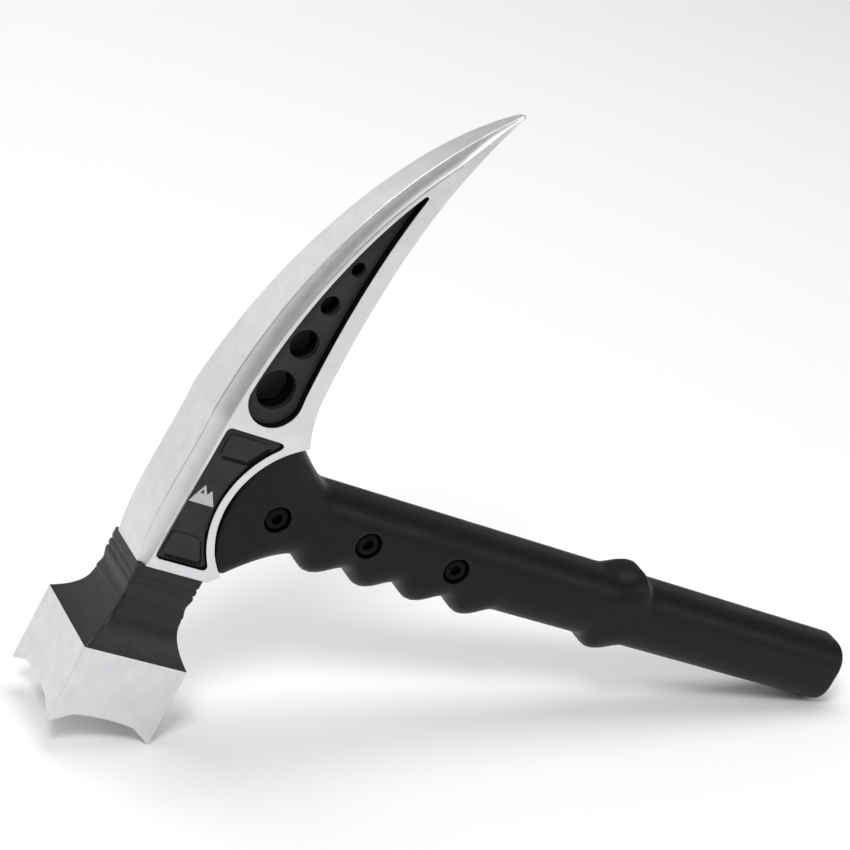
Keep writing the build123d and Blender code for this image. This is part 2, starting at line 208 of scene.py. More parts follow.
# ---- from the side view to the frame ----
def placed(points, head, handle):
    """The side view leans so that two prongs and the butt stand on the floor, and is centred in x.

    The lean is the slope of the line under prongs and butt. A point moves x along the leaning handle and
    y along the leaning head, and its z becomes minus Y.
    """
    lean = atan2(-head.poll_end - handle.butt_depth / 2, handle.end - head.poll_size)
    left = head.poll_end * sin(lean)
    right = handle.end * cos(lean) + handle.butt_depth / 2 * sin(lean)
    low = head.poll_end * cos(lean) - head.poll_size * sin(lean)
    x, y, z = points[..., 0], points[..., 1], points[..., 2]
    world = (x * cos(lean) + y * sin(lean) - (left + right) / 2, -z, y * cos(lean) - x * sin(lean) - low)
    return np.stack(world, axis=-1) / 1000


# ---- meshes from grids ----
class Shell:
    """Collects grids of points and their faces, and makes one mesh of them."""

    def __init__(self):
        self.points = []
        self.faces = []
        self.count = 0

    def grid(self, points, closed=False, holes=()):
        """Quads between neighbouring rows and columns, but for blocks of rows and columns left open."""
        rows, columns = points.shape[:2]
        index = np.arange(rows * columns).reshape(rows, columns) + self.count
        if closed:
            index = np.concatenate((index, index[:, :1]), axis=1)
        quads = np.stack((index[:-1, :-1], index[:-1, 1:], index[1:, 1:], index[1:, :-1]), axis=-1)
        keep = np.ones(quads.shape[:2], bool)
        for top, bottom, left, right in holes:
            keep[top:bottom, left:right] = False
        self.faces.append(quads[keep])
        self.points.append(points.reshape(-1, 3))
        self.count += rows * columns

    def both(self, points, **words):
        """The grid and its mirror image on the far side."""
        self.grid(points, **words)
        self.grid(points * (1, 1, -1), **words)

    def make(self, name, sizes, material, slot, replaces, round_by=0.0, weigh=None, smooth=32):
        """Merges the seams, turns the faces outward, rounds sharp edges and gives the finish."""
        head, handle = sizes
        mesh = bpy.data.meshes.new(name)
        local = np.concatenate(self.points)
        mesh.from_pydata(placed(local, head, handle), [], np.concatenate(self.faces))
        work = bmesh.new()
        work.from_mesh(mesh)
        bmesh.ops.remove_doubles(work, verts=work.verts, dist=2e-6)
        bmesh.ops.dissolve_degenerate(work, edges=work.edges, dist=1e-7)
        bmesh.ops.recalc_face_normals(work, faces=work.faces)
        work.to_mesh(mesh)
        work.free()
        mesh.update()
        piece = bpy.data.objects.new(name, mesh)
        bpy.context.scene.collection.objects.link(piece)
        mesh.shade_smooth()
        mesh.set_sharp_from_angle(angle=radians(smooth))
        if round_by:
            mark_edges(mesh, radians(smooth), weigh)
            bevel = piece.modifiers.new("Rounded edges", "BEVEL")
            bevel.width = round_by / 1000
            bevel.segments = 3
            bevel.limit_method = "WEIGHT"
            bevel.use_clamp_overlap = False
            flat = piece.modifiers.new("Flat faces", "WEIGHTED_NORMAL")
            flat.keep_sharp = True
        mesh.materials.append(material)
        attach(piece, "root")
        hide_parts(*replaces)
        return piece


def mark_edges(mesh, angle, weigh):
    """Gives a bevel weight to each edge whose two faces turn by more than the angle."""
    normals = np.empty(len(mesh.polygons) * 3)
    mesh.polygons.foreach_get("normal", normals)
    totals = np.empty(len(mesh.polygons), int)
    mesh.polygons.foreach_get("loop_total", totals)
    edges = np.empty(len(mesh.loops), int)
    mesh.loops.foreach_get("edge_index", edges)
    faces = np.repeat(np.arange(len(mesh.polygons)), totals)
    order = np.argsort(edges, kind="stable")
    edge, face = edges[order], faces[order]
    pair = np.flatnonzero(edge[:-1] == edge[1:])
    turn = np.einsum("ij,ij->i", normals.reshape(-1, 3)[face[pair]], normals.reshape(-1, 3)[face[pair + 1]])
    sharp = edge[pair[turn < cos(angle)]]
    ends = np.empty(len(mesh.edges) * 2, int)
    mesh.edges.foreach_get("vertices", ends)
    places = np.empty(len(mesh.vertices) * 3)
    mesh.vertices.foreach_get("co", places)
    middle = places.reshape(-1, 3)[ends.reshape(-1, 2)].mean(axis=1)
    weights = np.zeros(len(mesh.edges))
    weights[sharp] = 1.0 if weigh is None else weigh(middle[sharp])
    attribute = mesh.attributes.new("bevel_weight_edge", "FLOAT", "EDGE")
    attribute.data.foreach_set("value", weights)
    keep = np.zeros(len(mesh.edges), bool)
    if "sharp_edge" in mesh.attributes:
        mesh.attributes["sharp_edge"].data.foreach_get("value", keep)
        keep[weights > 0] = False
        mesh.attributes["sharp_edge"].data.foreach_set("value", keep)


# ---- outlines and patches in the plane ----
def along(line, shares):
    """Points at shares of a polyline's length."""
    steps = np.linalg.norm(np.diff(line, axis=0), axis=1)
    done = np.concatenate(([0], np.cumsum(steps)))
    where = np.asarray(shares) * done[-1]
    return np.stack([np.interp(where, done, line[:, axis]) for axis in range(line.shape[1])], axis=1)


def three_point_arc(first, middle, last, count):
    """Arc of the circle through three points, by the circle's centre and the two end angles."""
    ax, ay = first
    bx, by = middle
    cx, cy = last
    twice = 2 * (ax * (by - cy) + bx * (cy - ay) + cx * (ay - by))
    ux = ((ax**2 + ay**2) * (by - cy) + (bx**2 + by**2) * (cy - ay) + (cx**2 + cy**2) * (ay - by)) / twice
    uy = ((ax**2 + ay**2) * (cx - bx) + (bx**2 + by**2) * (ax - cx) + (cx**2 + cy**2) * (bx - ax)) / twice
    angles = np.unwrap([atan2(y - uy, x - ux) for x, y in (first, middle, last)])
    turned = np.linspace(angles[0], angles[2], count)
    radius = sqrt((ax - ux) ** 2 + (ay - uy) ** 2)
    return np.stack((ux + radius * np.cos(turned), uy + radius * np.sin(turned)), axis=1)


def rounded_sides(sides, radius, counts, steps=4):
    """Sides end to end, with each corner replaced by a parabola that touches both sides.

    The parabola starts and ends at the tangent length of the corner's circle, and each side is given
    from the middle of one corner's parabola to the middle of the next.
    """
    total = len(sides)
    lengths = [np.linalg.norm(np.diff(side, axis=0), axis=1).sum() for side in sides]
    trims = []
    for number in range(total):
        before, after = sides[number - 1], sides[number]
        one = (before[-1] - before[-2]) / np.linalg.norm(before[-1] - before[-2])
        two = (after[1] - after[0]) / np.linalg.norm(after[1] - after[0])
        turn = np.arccos(np.clip(one @ two, -1, 1))
        trims.append(min(radius * np.tan(turn / 2), 0.3 * min(lengths[number - 1], lengths[number])))
    made = []
    for number, side in enumerate(sides):
        after = sides[(number + 1) % total]
        before = sides[number - 1]
        here, there = trims[number], trims[(number + 1) % total]
        share = np.linspace(0.5, 1, steps, endpoint=False)[:, None]
        last = along(before, [1 - here / lengths[number - 1]])
        first = along(side, [here / lengths[number]])
        opening = (1 - share) ** 2 * last + 2 * share * (1 - share) * side[:1] + share**2 * first
        straight = along(side, np.linspace(here, lengths[number] - there, counts[number]) / lengths[number])
        begin = straight[-1:]
        finish = along(after, [there / lengths[(number + 1) % total]])
        share = np.linspace(0, 0.5, steps + 1)[1:, None]
        closing = (1 - share) ** 2 * begin + 2 * share * (1 - share) * side[-1:] + share**2 * finish
        made.append(np.concatenate((opening, straight, closing)))
    return made


def patch(left, top, right, bottom, fade=1):
    """Coons patch: straight from side to side, plus what each end bows out from its own chord.

    The bow fades away from its end as a power of the share of the way, faster for a higher power.
    """
    rows, columns = len(left), len(top)
    up = np.linspace(0, 1, rows)[:, None, None]
    over = np.linspace(0, 1, columns)[None, :, None]
    across = (1 - over) * left[:, None] + over * right[:, None]
    low_bow = bottom[None] - (1 - over) * bottom[0] - over * bottom[-1]
    high_bow = top[None] - (1 - over) * top[0] - over * top[-1]
    return across + (1 - up) ** fade * low_bow + up**fade * high_bow


def border(points, block):
    """The loop of grid points round a block of cells."""
    top, bottom, left, right = block
    return np.concatenate((
        points[top, left:right],
        points[top:bottom, right],
        points[bottom, right:left:-1],
        points[bottom:top:-1, left],
    ))


def rings_to_circle(loop, centre, radius, rings):
    """Rings from a loop to a circle: each point moves straight to the circle's point in its direction."""
    away = loop[:, :2] - centre
    circle = centre + radius * away / np.linalg.norm(away, axis=1)[:, None]
    share = np.linspace(0, 1, rings)[:, None, None]
    return (1 - share) * loop[None, :, :2] + share * circle[None]


# ---- curves of the head ----
BLIND_HOLES = ((23.0, 39.3, 6.4), (24.9, 55.2, 4.8), (27.1, 68.9, 3.2), (30.4, 82.0, 2.35))
BODY_HEIGHTS = (-26.0, -17.0, 0.0, 27.0)
PAD_CORNERS = (
    ((14.6, 15.2), (15.0, 22.6), (29.6, 22.6), (24.2, 15.2)),
    ((12.6, -20.3), (12.9, -12.6), (22.4, -12.6), (26.2, -20.3)),
)
# height over the plate of the thin sheet under each pad, and its shift towards the pad's lower right: the sheet is a
# painted shadow of the pad
PAD_SHADOW = 0.1
PAD_SHADOW_SHIFT = np.array((1.35, -1.3))
ACROSS = 7
RIM_RINGS = 4
PANEL_FADE = 8


def bow(height, start, end, rise, done):
    """Part of a quarter ellipse: nothing at start, and rise at end, where that share of it is done."""
    here = np.clip((height - start) / (end - start), 0, 1) * done
    return rise * (1 - np.sqrt(1 - here**2)) / (1 - sqrt(1 - done**2))


def body_cubic(height, values):
    """The cubic through the body's four sections."""
    return np.polyval(np.polyfit(BODY_HEIGHTS, values, 3), height)


def spine_x(s, height):
    """Front of the spine: the body's cubic below the pick's base, and a quarter ellipse's part over it."""
    pick = s.spine_front + bow(height, 10.0, s.pick_reach, s.pick_sweep, 0.87)
    base = s.spine_front + bow(np.float64(s.pick_base), 10.0, s.pick_reach, s.pick_sweep, 0.87)
    body = body_cubic(height, (s.neck_front, s.spine_front + 0.2, s.spine_front, base))
    return np.where(height < s.pick_base, body, pick)


def back_x(s, height):
    """The hook's inner edge: a quarter ellipse's part, and a parabola that flares out at the collar."""
    root = s.spine_front + s.pick_depth
    hook = bow(height, 40.0, s.pick_reach, s.spine_front + s.pick_sweep + 2 * s.tip_half - root, 0.95)
    return root + hook + s.collar_flare * np.clip((42.0 - height) / 17.0, 0, 1) ** 2


def bevel_size(s, height):
    pick = np.minimum(s.bevel_width, 0.55 * (back_x(s, height) - spine_x(s, height)))
    body = body_cubic(height, (2.4, s.bevel_width - 0.8, s.bevel_width, s.bevel_width))
    return np.where(height < s.pick_base, body, pick)


def draw_in(s, height):
    """Falls from one to nothing over the last stretch to the tip, as a quarter ellipse does."""
    done = np.clip((height - s.pick_reach + s.tip_length) / s.tip_length, 0, 1)
    return np.sqrt(1 - done**2)


def face_slope(s):
    return (s.body_half - s.pick_end_half) / (s.pick_reach - s.pick_base)


def side_half(s, height):
    straight = s.body_half - face_slope(s) * np.maximum(0, height - s.pick_base)
    return s.tip_half + (straight - s.tip_half) * draw_in(s, height)


def edge_half(s, height):
    narrowed = side_half(s, height) * s.spine_half / s.body_half - 0.9 * draw_in(s, height)
    return np.maximum(s.tip_half * 0.8, narrowed)


def on_face(s, flat, depth):
    """Carries an outline onto the pick's tilted side face, and then down into it by a depth."""
    tilt = atan(face_slope(s))
    up = flat[..., 1] - s.pick_base
    y = s.pick_base + up * cos(tilt) - depth * sin(tilt)
    z = s.body_half - up * sin(tilt) - depth * cos(tilt)
    return np.stack((flat[..., 0], y, z), axis=-1)


def raised(flat, z):
    return np.concatenate((flat, np.full((*flat.shape[:-1], 1), z)), axis=-1)


def body_panel(s, panel, trim, rows, columns):
    """The fan-shaped panel: straight front, and an arc that keeps a rim round the seat."""
    radius = s.seat_radius + panel.arc_rim + trim
    low, high = -22.2 + trim, 24.4 - trim
    centre = np.array((s.seat_x, s.seat_y))
    reach = [s.seat_x - sqrt(radius**2 - (y - s.seat_y) ** 2) for y in (high, low)]
    front = np.array(((s.spine_front + 5.1 + trim, low), (s.spine_front + 6.8 + trim, high)))
    angles = np.linspace(atan2(high - s.seat_y, reach[0] - s.seat_x), atan2(low - s.seat_y, reach[1] - s.seat_x) + 2 * pi, 60)
    arc = centre + radius * np.stack((np.cos(angles), np.sin(angles)), axis=1)
    top = np.array((front[1], arc[0]))
    bottom = np.array((arc[-1], front[0]))
    made = rounded_sides((front, top, arc, bottom), panel.corner, (rows - 8, columns - 8, rows - 8, columns - 8))
    return made[0], made[1], made[2][::-1], made[3][::-1]


def pick_panel(s, panel, trim, rows, columns):
    """The pick's panel: along the rim, round its point, along the hook, and round below."""
    rim = s.bevel_width + panel.margin_front + trim
    end = panel.top + 0.6
    up = np.linspace(36.0, end, rows)
    front = np.stack((spine_x(s, up) + rim, up), axis=1)
    down = np.linspace(38.0, end, rows)
    back = np.stack((back_x(s, down) - panel.margin_back - trim, down), axis=1)
    over = ((front[-1, 0] + back[-1, 0]) / 2, end + 0.4 * (back[-1, 0] - front[-1, 0]))
    under = ((front[0, 0] + back[0, 0]) / 2, panel.bottom + trim)
    top = three_point_arc(front[-1], over, back[-1], columns)
    bottom = three_point_arc(front[0], under, back[0], columns)
    return front, top, back, bottom


def loop_of(sides):
    """One closed loop from left, top, right and bottom, each given upward or to the right."""
    left, top, right, bottom = sides
    return np.concatenate((left[:-1], top[:-1], right[:0:-1], bottom[:0:-1]))


def hole_blocks(flat):
    """For each blind hole, the rows of the panel's grid that its rings take the place of."""
    middle = flat[:, flat.shape[1] // 2, 1]
    blocks = []
    for number, (_, height, radius) in enumerate(BLIND_HOLES):
        first = 0 if number == 0 else int(np.searchsorted(middle, height - radius - 0.7)) - 1
        last = int(np.searchsorted(middle, height + radius + 0.7))
        if blocks:
            first = max(first, blocks[-1][1])
        blocks.append((first, last, 0, flat.shape[1] - 1))
    return blocks


def holed_face(shell, s, flat, depth, floors=None):
    """A panel's face with its round holes, and each hole's wall and bottom if floors are given."""
    blocks = hole_blocks(flat)
    shell.both(on_face(s, flat, depth), holes=blocks)
    rims = []
    for block, (x, height, radius) in zip(blocks, BLIND_HOLES):
        rings = rings_to_circle(border(flat, block), np.array((x, height)), radius, 4)
        shell.both(on_face(s, rings, depth), closed=True)
        rims.append(rings[-1])
        if floors is not None:
            floor = floors[len(rims) - 1]
            wall = np.stack([on_face(s, rings[-1], depth + share * (floor - depth)) for share in (0, 0.5, 1)])
            shell.both(wall, closed=True)
            centre = np.array((x, height))
            inward = np.stack([centre + share * (rings[-1] - centre) for share in (1, 0.66, 0.33, 0)])
            shell.both(on_face(s, inward, floor), closed=True)
    return rims


# ---- finishes ----
def add_node(tree, kind, settings=(), inputs=()):
    """Adds a node; each input is a value, or the socket of another node to link from."""
    made = tree.nodes.new(kind)
    for name, value in dict(settings).items():
        setattr(made, name, value)
    for name, value in dict(inputs).items():
        if isinstance(value, bpy.types.NodeSocket):
            tree.links.new(value, made.inputs[name])
        else:
            made.inputs[name].default_value = value
    return made


def new_finish(name, **sockets):
    """A material with one Principled shader whose even values are set on its own sockets."""
    made = bpy.data.materials.new(name)
    made.use_nodes = True
    made.node_tree.nodes.clear()
    tree = made.node_tree
    shader = add_node(tree, "ShaderNodeBsdfPrincipled", inputs={k.replace("_", " "): v for k, v in sockets.items()})
    add_node(tree, "ShaderNodeOutputMaterial", inputs={"Surface": shader.outputs["BSDF"]})
    place = add_node(tree, "ShaderNodeTexCoord").outputs["Object"]
    return made, tree, shader, place


def blasted_steel(colours):
    """Cast steel, bead blasted and lightly ground: pale, evenly soft, with faint cloudy patches."""
    made, tree, shader, place = new_finish("Blasted cast steel", Metallic=1.0)
    # clouds 5 mm apart tint the steel
    cloud = add_node(
        tree, "ShaderNodeTexNoise", inputs={"Vector": place, "Scale": 1000 / 5, "Detail": 4.0, "Roughness": 0.6}
    )
    tint = add_node(
        tree, "ShaderNodeMapRange", inputs={"Value": cloud.outputs["Fac"], "From Min": 0.3, "From Max": 0.7}
    )
    base = add_node(
        tree,
        "ShaderNodeMix",
        settings={"data_type": "RGBA"},
        inputs={0: tint.outputs["Result"], 6: colours.steel_dark, 7: colours.steel_light},
    )
    tree.links.new(base.outputs[2], shader.inputs["Base Color"])
    # grinding marks run across the spine, so their noise is drawn out in Y; 0.6 mm apart so that they show
    drawn = add_node(tree, "ShaderNodeMapping", inputs={"Vector": place, "Scale": (1.0, 0.12, 1.0)})
    marks = add_node(
        tree,
        "ShaderNodeTexNoise",
        inputs={"Vector": drawn.outputs["Vector"], "Scale": 1000 / 0.6, "Detail": 3.0, "Roughness": 0.6},
    )
    gloss = add_node(
        tree,
        "ShaderNodeMapRange",
        inputs={"Value": marks.outputs["Fac"], "From Min": 0.25, "From Max": 0.75, "To Min": 0.37, "To Max": 0.45},
    )
    tree.links.new(gloss.outputs["Result"], shader.inputs["Roughness"])
    relief = add_node(
        tree, "ShaderNodeBump", inputs={"Height": marks.outputs["Fac"], "Strength": 0.12, "Distance": 0.04e-3}
    )
    tree.links.new(relief.outputs["Normal"], shader.inputs["Normal"])
    return made


def satin_coat(colours):
    """Black coating baked on cast steel: satin, with slight orange peel 2.2 mm apart."""
    made, tree, shader, place = new_finish("Satin black coating", Base_Color=colours.coat, Specular_IOR_Level=0.3)
    peel = add_node(tree, "ShaderNodeTexNoise", inputs={"Vector": place, "Scale": 1000 / 2.2})
    gloss = add_node(
        tree,
        "ShaderNodeMapRange",
        inputs={"Value": peel.outputs["Fac"], "From Min": 0.3, "From Max": 0.7, "To Min": 0.3, "To Max": 0.42},
    )
    tree.links.new(gloss.outputs["Result"], shader.inputs["Roughness"])
    relief = add_node(
        tree, "ShaderNodeBump", inputs={"Height": peel.outputs["Fac"], "Strength": 0.12, "Distance": 0.05e-3}
    )
    tree.links.new(relief.outputs["Normal"], shader.inputs["Normal"])
    return made


def textured_inlay(colours):
    """Moulded ABS with a fine spark-eroded grain: matte charcoal that sparkles very slightly."""
    made, tree, shader, place = new_finish("Textured black ABS", Specular_IOR_Level=0.25)
    # the real grain is about 0.1 mm, and is drawn 0.55 mm coarse so that it shows
    grain = add_node(
        tree, "ShaderNodeTexNoise", inputs={"Vector": place, "Scale": 1000 / 0.55, "Detail": 3.0, "Roughness": 0.6}
    )
    cloud = add_node(tree, "ShaderNodeTexNoise", inputs={"Vector": place, "Scale": 1000 / 9})
    lighter = tuple(min(1.0, channel * 1.5) for channel in colours.inlay[:3]) + (1.0,)
    tint = add_node(
        tree, "ShaderNodeMapRange", inputs={"Value": cloud.outputs["Fac"], "From Min": 0.3, "From Max": 0.7}
    )
    base = add_node(
        tree,
        "ShaderNodeMix",
        settings={"data_type": "RGBA"},
        inputs={0: tint.outputs["Result"], 6: colours.inlay, 7: lighter},
    )
    tree.links.new(base.outputs[2], shader.inputs["Base Color"])
    gloss = add_node(
        tree,
        "ShaderNodeMapRange",
        inputs={"Value": grain.outputs["Fac"], "From Min": 0.3, "From Max": 0.7, "To Min": 0.5, "To Max": 0.68},
    )
    tree.links.new(gloss.outputs["Result"], shader.inputs["Roughness"])
    relief = add_node(
        tree, "ShaderNodeBump", inputs={"Height": grain.outputs["Fac"], "Strength": 0.35, "Distance": 0.12e-3}
    )
    tree.links.new(relief.outputs["Normal"], shader.inputs["Normal"])
    return made


def black_filler_and_shade(colours):
    """Black filler on a pocket's walls, brushed on: dull and dark. Darker than the inlays, it is partly the pockets'
    real black paint and partly painted shade, and it also serves as painted shade in the seat's gap and under the pads.
    """
    made, tree, shader, place = new_finish("Black filler and painted shade", Base_Color=colours.pocket, Specular_IOR_Level=0.15)
    brushed = add_node(tree, "ShaderNodeTexNoise", inputs={"Vector": place, "Scale": 1000 / 1.5})
    gloss = add_node(
        tree,
        "ShaderNodeMapRange",
        inputs={"Value": brushed.outputs["Fac"], "From Min": 0.3, "From Max": 0.7, "To Min": 0.5, "To Max": 0.7},
    )
    tree.links.new(gloss.outputs["Result"], shader.inputs["Roughness"])
    return made


def moulded_nylon(colours):
    """Glass-filled nylon from a polished mould: near black, a soft gloss, and painted paler on its convex edges as a
    painted highlight.
    """
    made, tree, shader, place = new_finish("Moulded glass-filled nylon", Specular_IOR_Level=0.2)
    # glass fibres print through 0.7 mm apart, and the gloss drifts over 16 mm
    fibre = add_node(
        tree, "ShaderNodeTexNoise", inputs={"Vector": place, "Scale": 1000 / 0.7, "Detail": 3.0, "Roughness": 0.6}
    )
    cloud = add_node(tree, "ShaderNodeTexNoise", inputs={"Vector": place, "Scale": 1000 / 16})
    # painted highlight: the base turns paler on convex edges, by their pointiness
    edges = add_node(tree, "ShaderNodeNewGeometry")
    painted_lighter = add_node(
        tree,
        "ShaderNodeMapRange",
        inputs={"Value": edges.outputs["Pointiness"], "From Min": 0.5, "From Max": 0.56, "To Max": 0.8},
    )
    base = add_node(
        tree,
        "ShaderNodeMix",
        settings={"data_type": "RGBA"},
        inputs={0: painted_lighter.outputs["Result"], 6: colours.nylon, 7: colours.nylon_highlight},
    )
    tree.links.new(base.outputs[2], shader.inputs["Base Color"])
    gloss = add_node(
        tree,
        "ShaderNodeMapRange",
        inputs={"Value": cloud.outputs["Fac"], "From Min": 0.3, "From Max": 0.7, "To Min": 0.38, "To Max": 0.48},
    )
    tree.links.new(gloss.outputs["Result"], shader.inputs["Roughness"])
    relief = add_node(
        tree, "ShaderNodeBump", inputs={"Height": fibre.outputs["Fac"], "Strength": 0.2, "Distance": 0.06e-3}
    )
    tree.links.new(relief.outputs["Normal"], shader.inputs["Normal"])
    return made


def oxide_steel(colours):
    """Black oxide on turned steel: dark, half gloss, with fine turning marks drawn 0.4 mm apart."""
    made, tree, shader, place = new_finish("Black oxide steel", Base_Color=colours.bolt, Metallic=1.0)
    patchy = add_node(tree, "ShaderNodeTexNoise", inputs={"Vector": place, "Scale": 1000 / 0.8})
    gloss = add_node(
        tree,
        "ShaderNodeMapRange",
        inputs={"Value": patchy.outputs["Fac"], "From Min": 0.3, "From Max": 0.7, "To Min": 0.3, "To Max": 0.42},
    )
    tree.links.new(gloss.outputs["Result"], shader.inputs["Roughness"])
    marks = add_node(tree, "ShaderNodeTexNoise", inputs={"Vector": place, "Scale": 1000 / 0.4})
    relief = add_node(
        tree, "ShaderNodeBump", inputs={"Height": marks.outputs["Fac"], "Strength": 0.1, "Distance": 0.03e-3}
    )
    tree.links.new(relief.outputs["Normal"], shader.inputs["Normal"])
    return made


def pale_print(colours):
    """Pad printing ink: thin, pale and a little uneven, 0.6 mm from patch to patch."""
    made, tree, shader, place = new_finish("Pale printing ink", Base_Color=colours.badge)
    patchy = add_node(tree, "ShaderNodeTexNoise", inputs={"Vector": place, "Scale": 1000 / 0.6})
    gloss = add_node(
        tree,
        "ShaderNodeMapRange",
        inputs={"Value": patchy.outputs["Fac"], "From Min": 0.3, "From Max": 0.7, "To Min": 0.42, "To Max": 0.6},
    )
    tree.links.new(gloss.outputs["Result"], shader.inputs["Roughness"])
    return made


def plain_floor(colours):
    """Painted studio floor: pale and matte all over."""
    return new_finish("Plain pale floor", Base_Color=colours.floor, Roughness=0.9)[0]


def finish(name, maker, context):
    """The named finish, made once."""
    return bpy.data.materials.get(name) or maker(context.scene.ice_finish)


# ---- operators: one for each piece or group of like pieces ----
class ICE_OT_pick_and_body(bpy.types.Operator):
    """Pick and body: flat spine, hollow bevels, side faces with pockets, hook and seat"""

    bl_idname = "ice.pick_and_body"
    bl_label = "Pick and body"

    def execute(self, context):
        s, panel = millimetres(context.scene.ice_head), millimetres(context.scene.ice_inlay)
        handle = millimetres(context.scene.ice_handle)
        shell = Shell()
        rows, columns = 31, 17
        base, top = s.pick_base, panel.top + 2.6
        body = body_panel(s, panel, 0, rows, columns)
        pick = pick_panel(s, panel, 0, rows * 2 - 1, columns)
        shares = np.linspace(0, 1, columns)

        # outer lines of the two side faces, front and back
        body_front = s.body_bottom + (base - s.body_bottom) * np.linspace(0, 1, rows)
        pick_front = base + (top - base) * np.linspace(0, 1, rows * 2 - 1)
        seat_top = 25.34
        angles = np.linspace(
            atan2(seat_top - s.seat_y, back_x(s, np.float64(seat_top)) - s.seat_x),
            atan2(s.seat_low_y - s.seat_y, s.seat_low_x - s.seat_x) + 2 * pi,
            rows - 2,
        )
        seat = np.stack((s.seat_x + s.seat_radius * np.cos(angles), s.seat_y + s.seat_radius * np.sin(angles)), axis=1)
        start = np.array(((back_x(s, np.float64(base)), base),))
        foot = np.array(((s.body_foot, s.body_bottom),))
        body_back = np.concatenate((start, seat, foot))[::-1]
        front_of = lambda h: spine_x(s, h) + bevel_size(s, h)

        def level_line(height, last):
            first = front_of(np.float64(height))
            return np.stack((first + (last - first) * shares, np.full(columns, height)), axis=1)

        outer_body = (
            np.stack((front_of(body_front), body_front), axis=1),
            level_line(base, back_x(s, np.float64(base))),
            body_back,
            level_line(s.body_bottom, s.body_foot),
        )
        pick_back = np.stack((back_x(s, pick_front), pick_front), axis=1)
        outer_pick = (
            np.stack((front_of(pick_front), pick_front), axis=1),
            level_line(top, back_x(s, np.float64(top))),
            pick_back,
            level_line(base, back_x(s, np.float64(base))),
        )
        share = np.linspace(0, 1, RIM_RINGS)[:, None, None]

        # body side: rim to pocket, pocket wall, pocket floor
        outer, inner = raised(loop_of(outer_body), s.body_half), raised(loop_of(body), s.body_half)
        shell.both((1 - share) * outer[None] + share * inner[None], closed=True)
        deep = s.body_half - panel.body_pocket_depth
        wall = np.stack([raised(loop_of(body), z) for z in np.linspace(s.body_half, deep, 3)])
        shell.both(wall, closed=True)
        shell.both(raised(patch(*body), deep))

        # pick side: rim to pocket, pocket wall, floor with the blind holes
        outline = loop_of(outer_pick)
        outer = np.stack((outline[:, 0], outline[:, 1], side_half(s, outline[:, 1])), axis=1)
        inner = on_face(s, loop_of(pick), 0)
        shell.both((1 - share) * outer[None] + share * inner[None], closed=True)
        wall = np.stack([on_face(s, loop_of(pick), depth) for depth in np.linspace(0, panel.pocket_depth, 4)])
        shell.both(wall, closed=True)
        floors = [side_half(s, height) - panel.hole_web for _, height, _ in BLIND_HOLES]
        holed_face(shell, s, patch(*pick, fade=PANEL_FADE), panel.pocket_depth, floors)

        # the side over the pocket, to the tip
        tip = top + (s.pick_reach - top) * np.sin(np.linspace(0, pi / 2, 25))
        x = front_of(tip)[:, None] + (back_x(s, tip) - front_of(tip))[:, None] * shares
        shell.both(np.stack((x, x * 0 + tip[:, None], x * 0 + side_half(s, tip)[:, None]), axis=-1))

        # flat spine, hollow bevels and back, in the same rows as the sides
        heights = np.concatenate((body_front[:-1], pick_front[:-1], tip))
        edge = np.where(heights < base, edge_half(s, np.float64(base)), edge_half(s, heights))
        half = np.where(heights < base, s.body_half, side_half(s, heights))
        across = np.linspace(-1, 1, ACROSS)
        front, bevel = spine_x(s, heights), bevel_size(s, heights)
        shell.grid(np.stack([np.stack((front, heights, w * edge), axis=1) for w in across], axis=1))
        sunk = np.minimum(s.bevel_hollow, bevel / 12)
        steps = np.linspace(0, 1, 8)
        dip = 4 * steps * (1 - steps)
        bevels = np.stack([
            np.stack((front + bevel * t + sunk * d / 2, heights, edge + (half - edge) * t - sunk * d), axis=1)
            for t, d in zip(steps, dip)
        ], axis=1)
        shell.both(bevels)
        back_line = np.concatenate((body_back[:-1], pick_back[:-1], np.stack((back_x(s, tip), tip), axis=1)))
        back_half = np.where(back_line[:, 1] < base, s.body_half, side_half(s, back_line[:, 1]))
        shell.grid(np.stack([
            np.stack((back_line[:, 0], back_line[:, 1], w * back_half), axis=1) for w in across
        ], axis=1))

        # caps at the tip and at the bottom: every section point is joined to its mirror point
        for row, last in ((-1, back_line[-1, 0]), (0, s.body_foot)):
            side_x = bevels[row, -1, 0] + (last - bevels[row, -1, 0]) * shares[1:]
            cap_x = np.concatenate((bevels[row, :, 0], side_x))
            cap_z = np.concatenate((bevels[row, :, 2], np.full(columns - 1, half[row])))
            cap = np.stack([
                np.stack((cap_x, cap_x * 0 + heights[row], w * cap_z), axis=1) for w in across
            ], axis=1)
            shell.grid(cap)

        def weigh(middle):
            """Edges are rounded less near the tip."""
            near_tip = np.linalg.norm(middle - placed(np.array((s.pick_sweep + 6.9, s.pick_reach, 0.0)), s, handle), axis=1)
            return np.clip(near_tip / 0.03, 0.25, 1)

        steel = finish("Blasted cast steel", blasted_steel, context)
        piece = shell.make("pick_and_body", (s, handle), steel, "head_steel", ["head_casting"], s.edge_round, weigh)
        # black filler for the pockets' walls and the seat: real black paint made darker as painted shade, and the inlay
        # finish for the hole floors
        piece.data.materials.append(finish("Black filler and painted shade", black_filler_and_shade, context))
        piece.data.materials.append(finish("Textured black ABS", textured_inlay, context))
        paint_pockets_and_shade(piece, s, panel, handle)
        return {"FINISHED"}


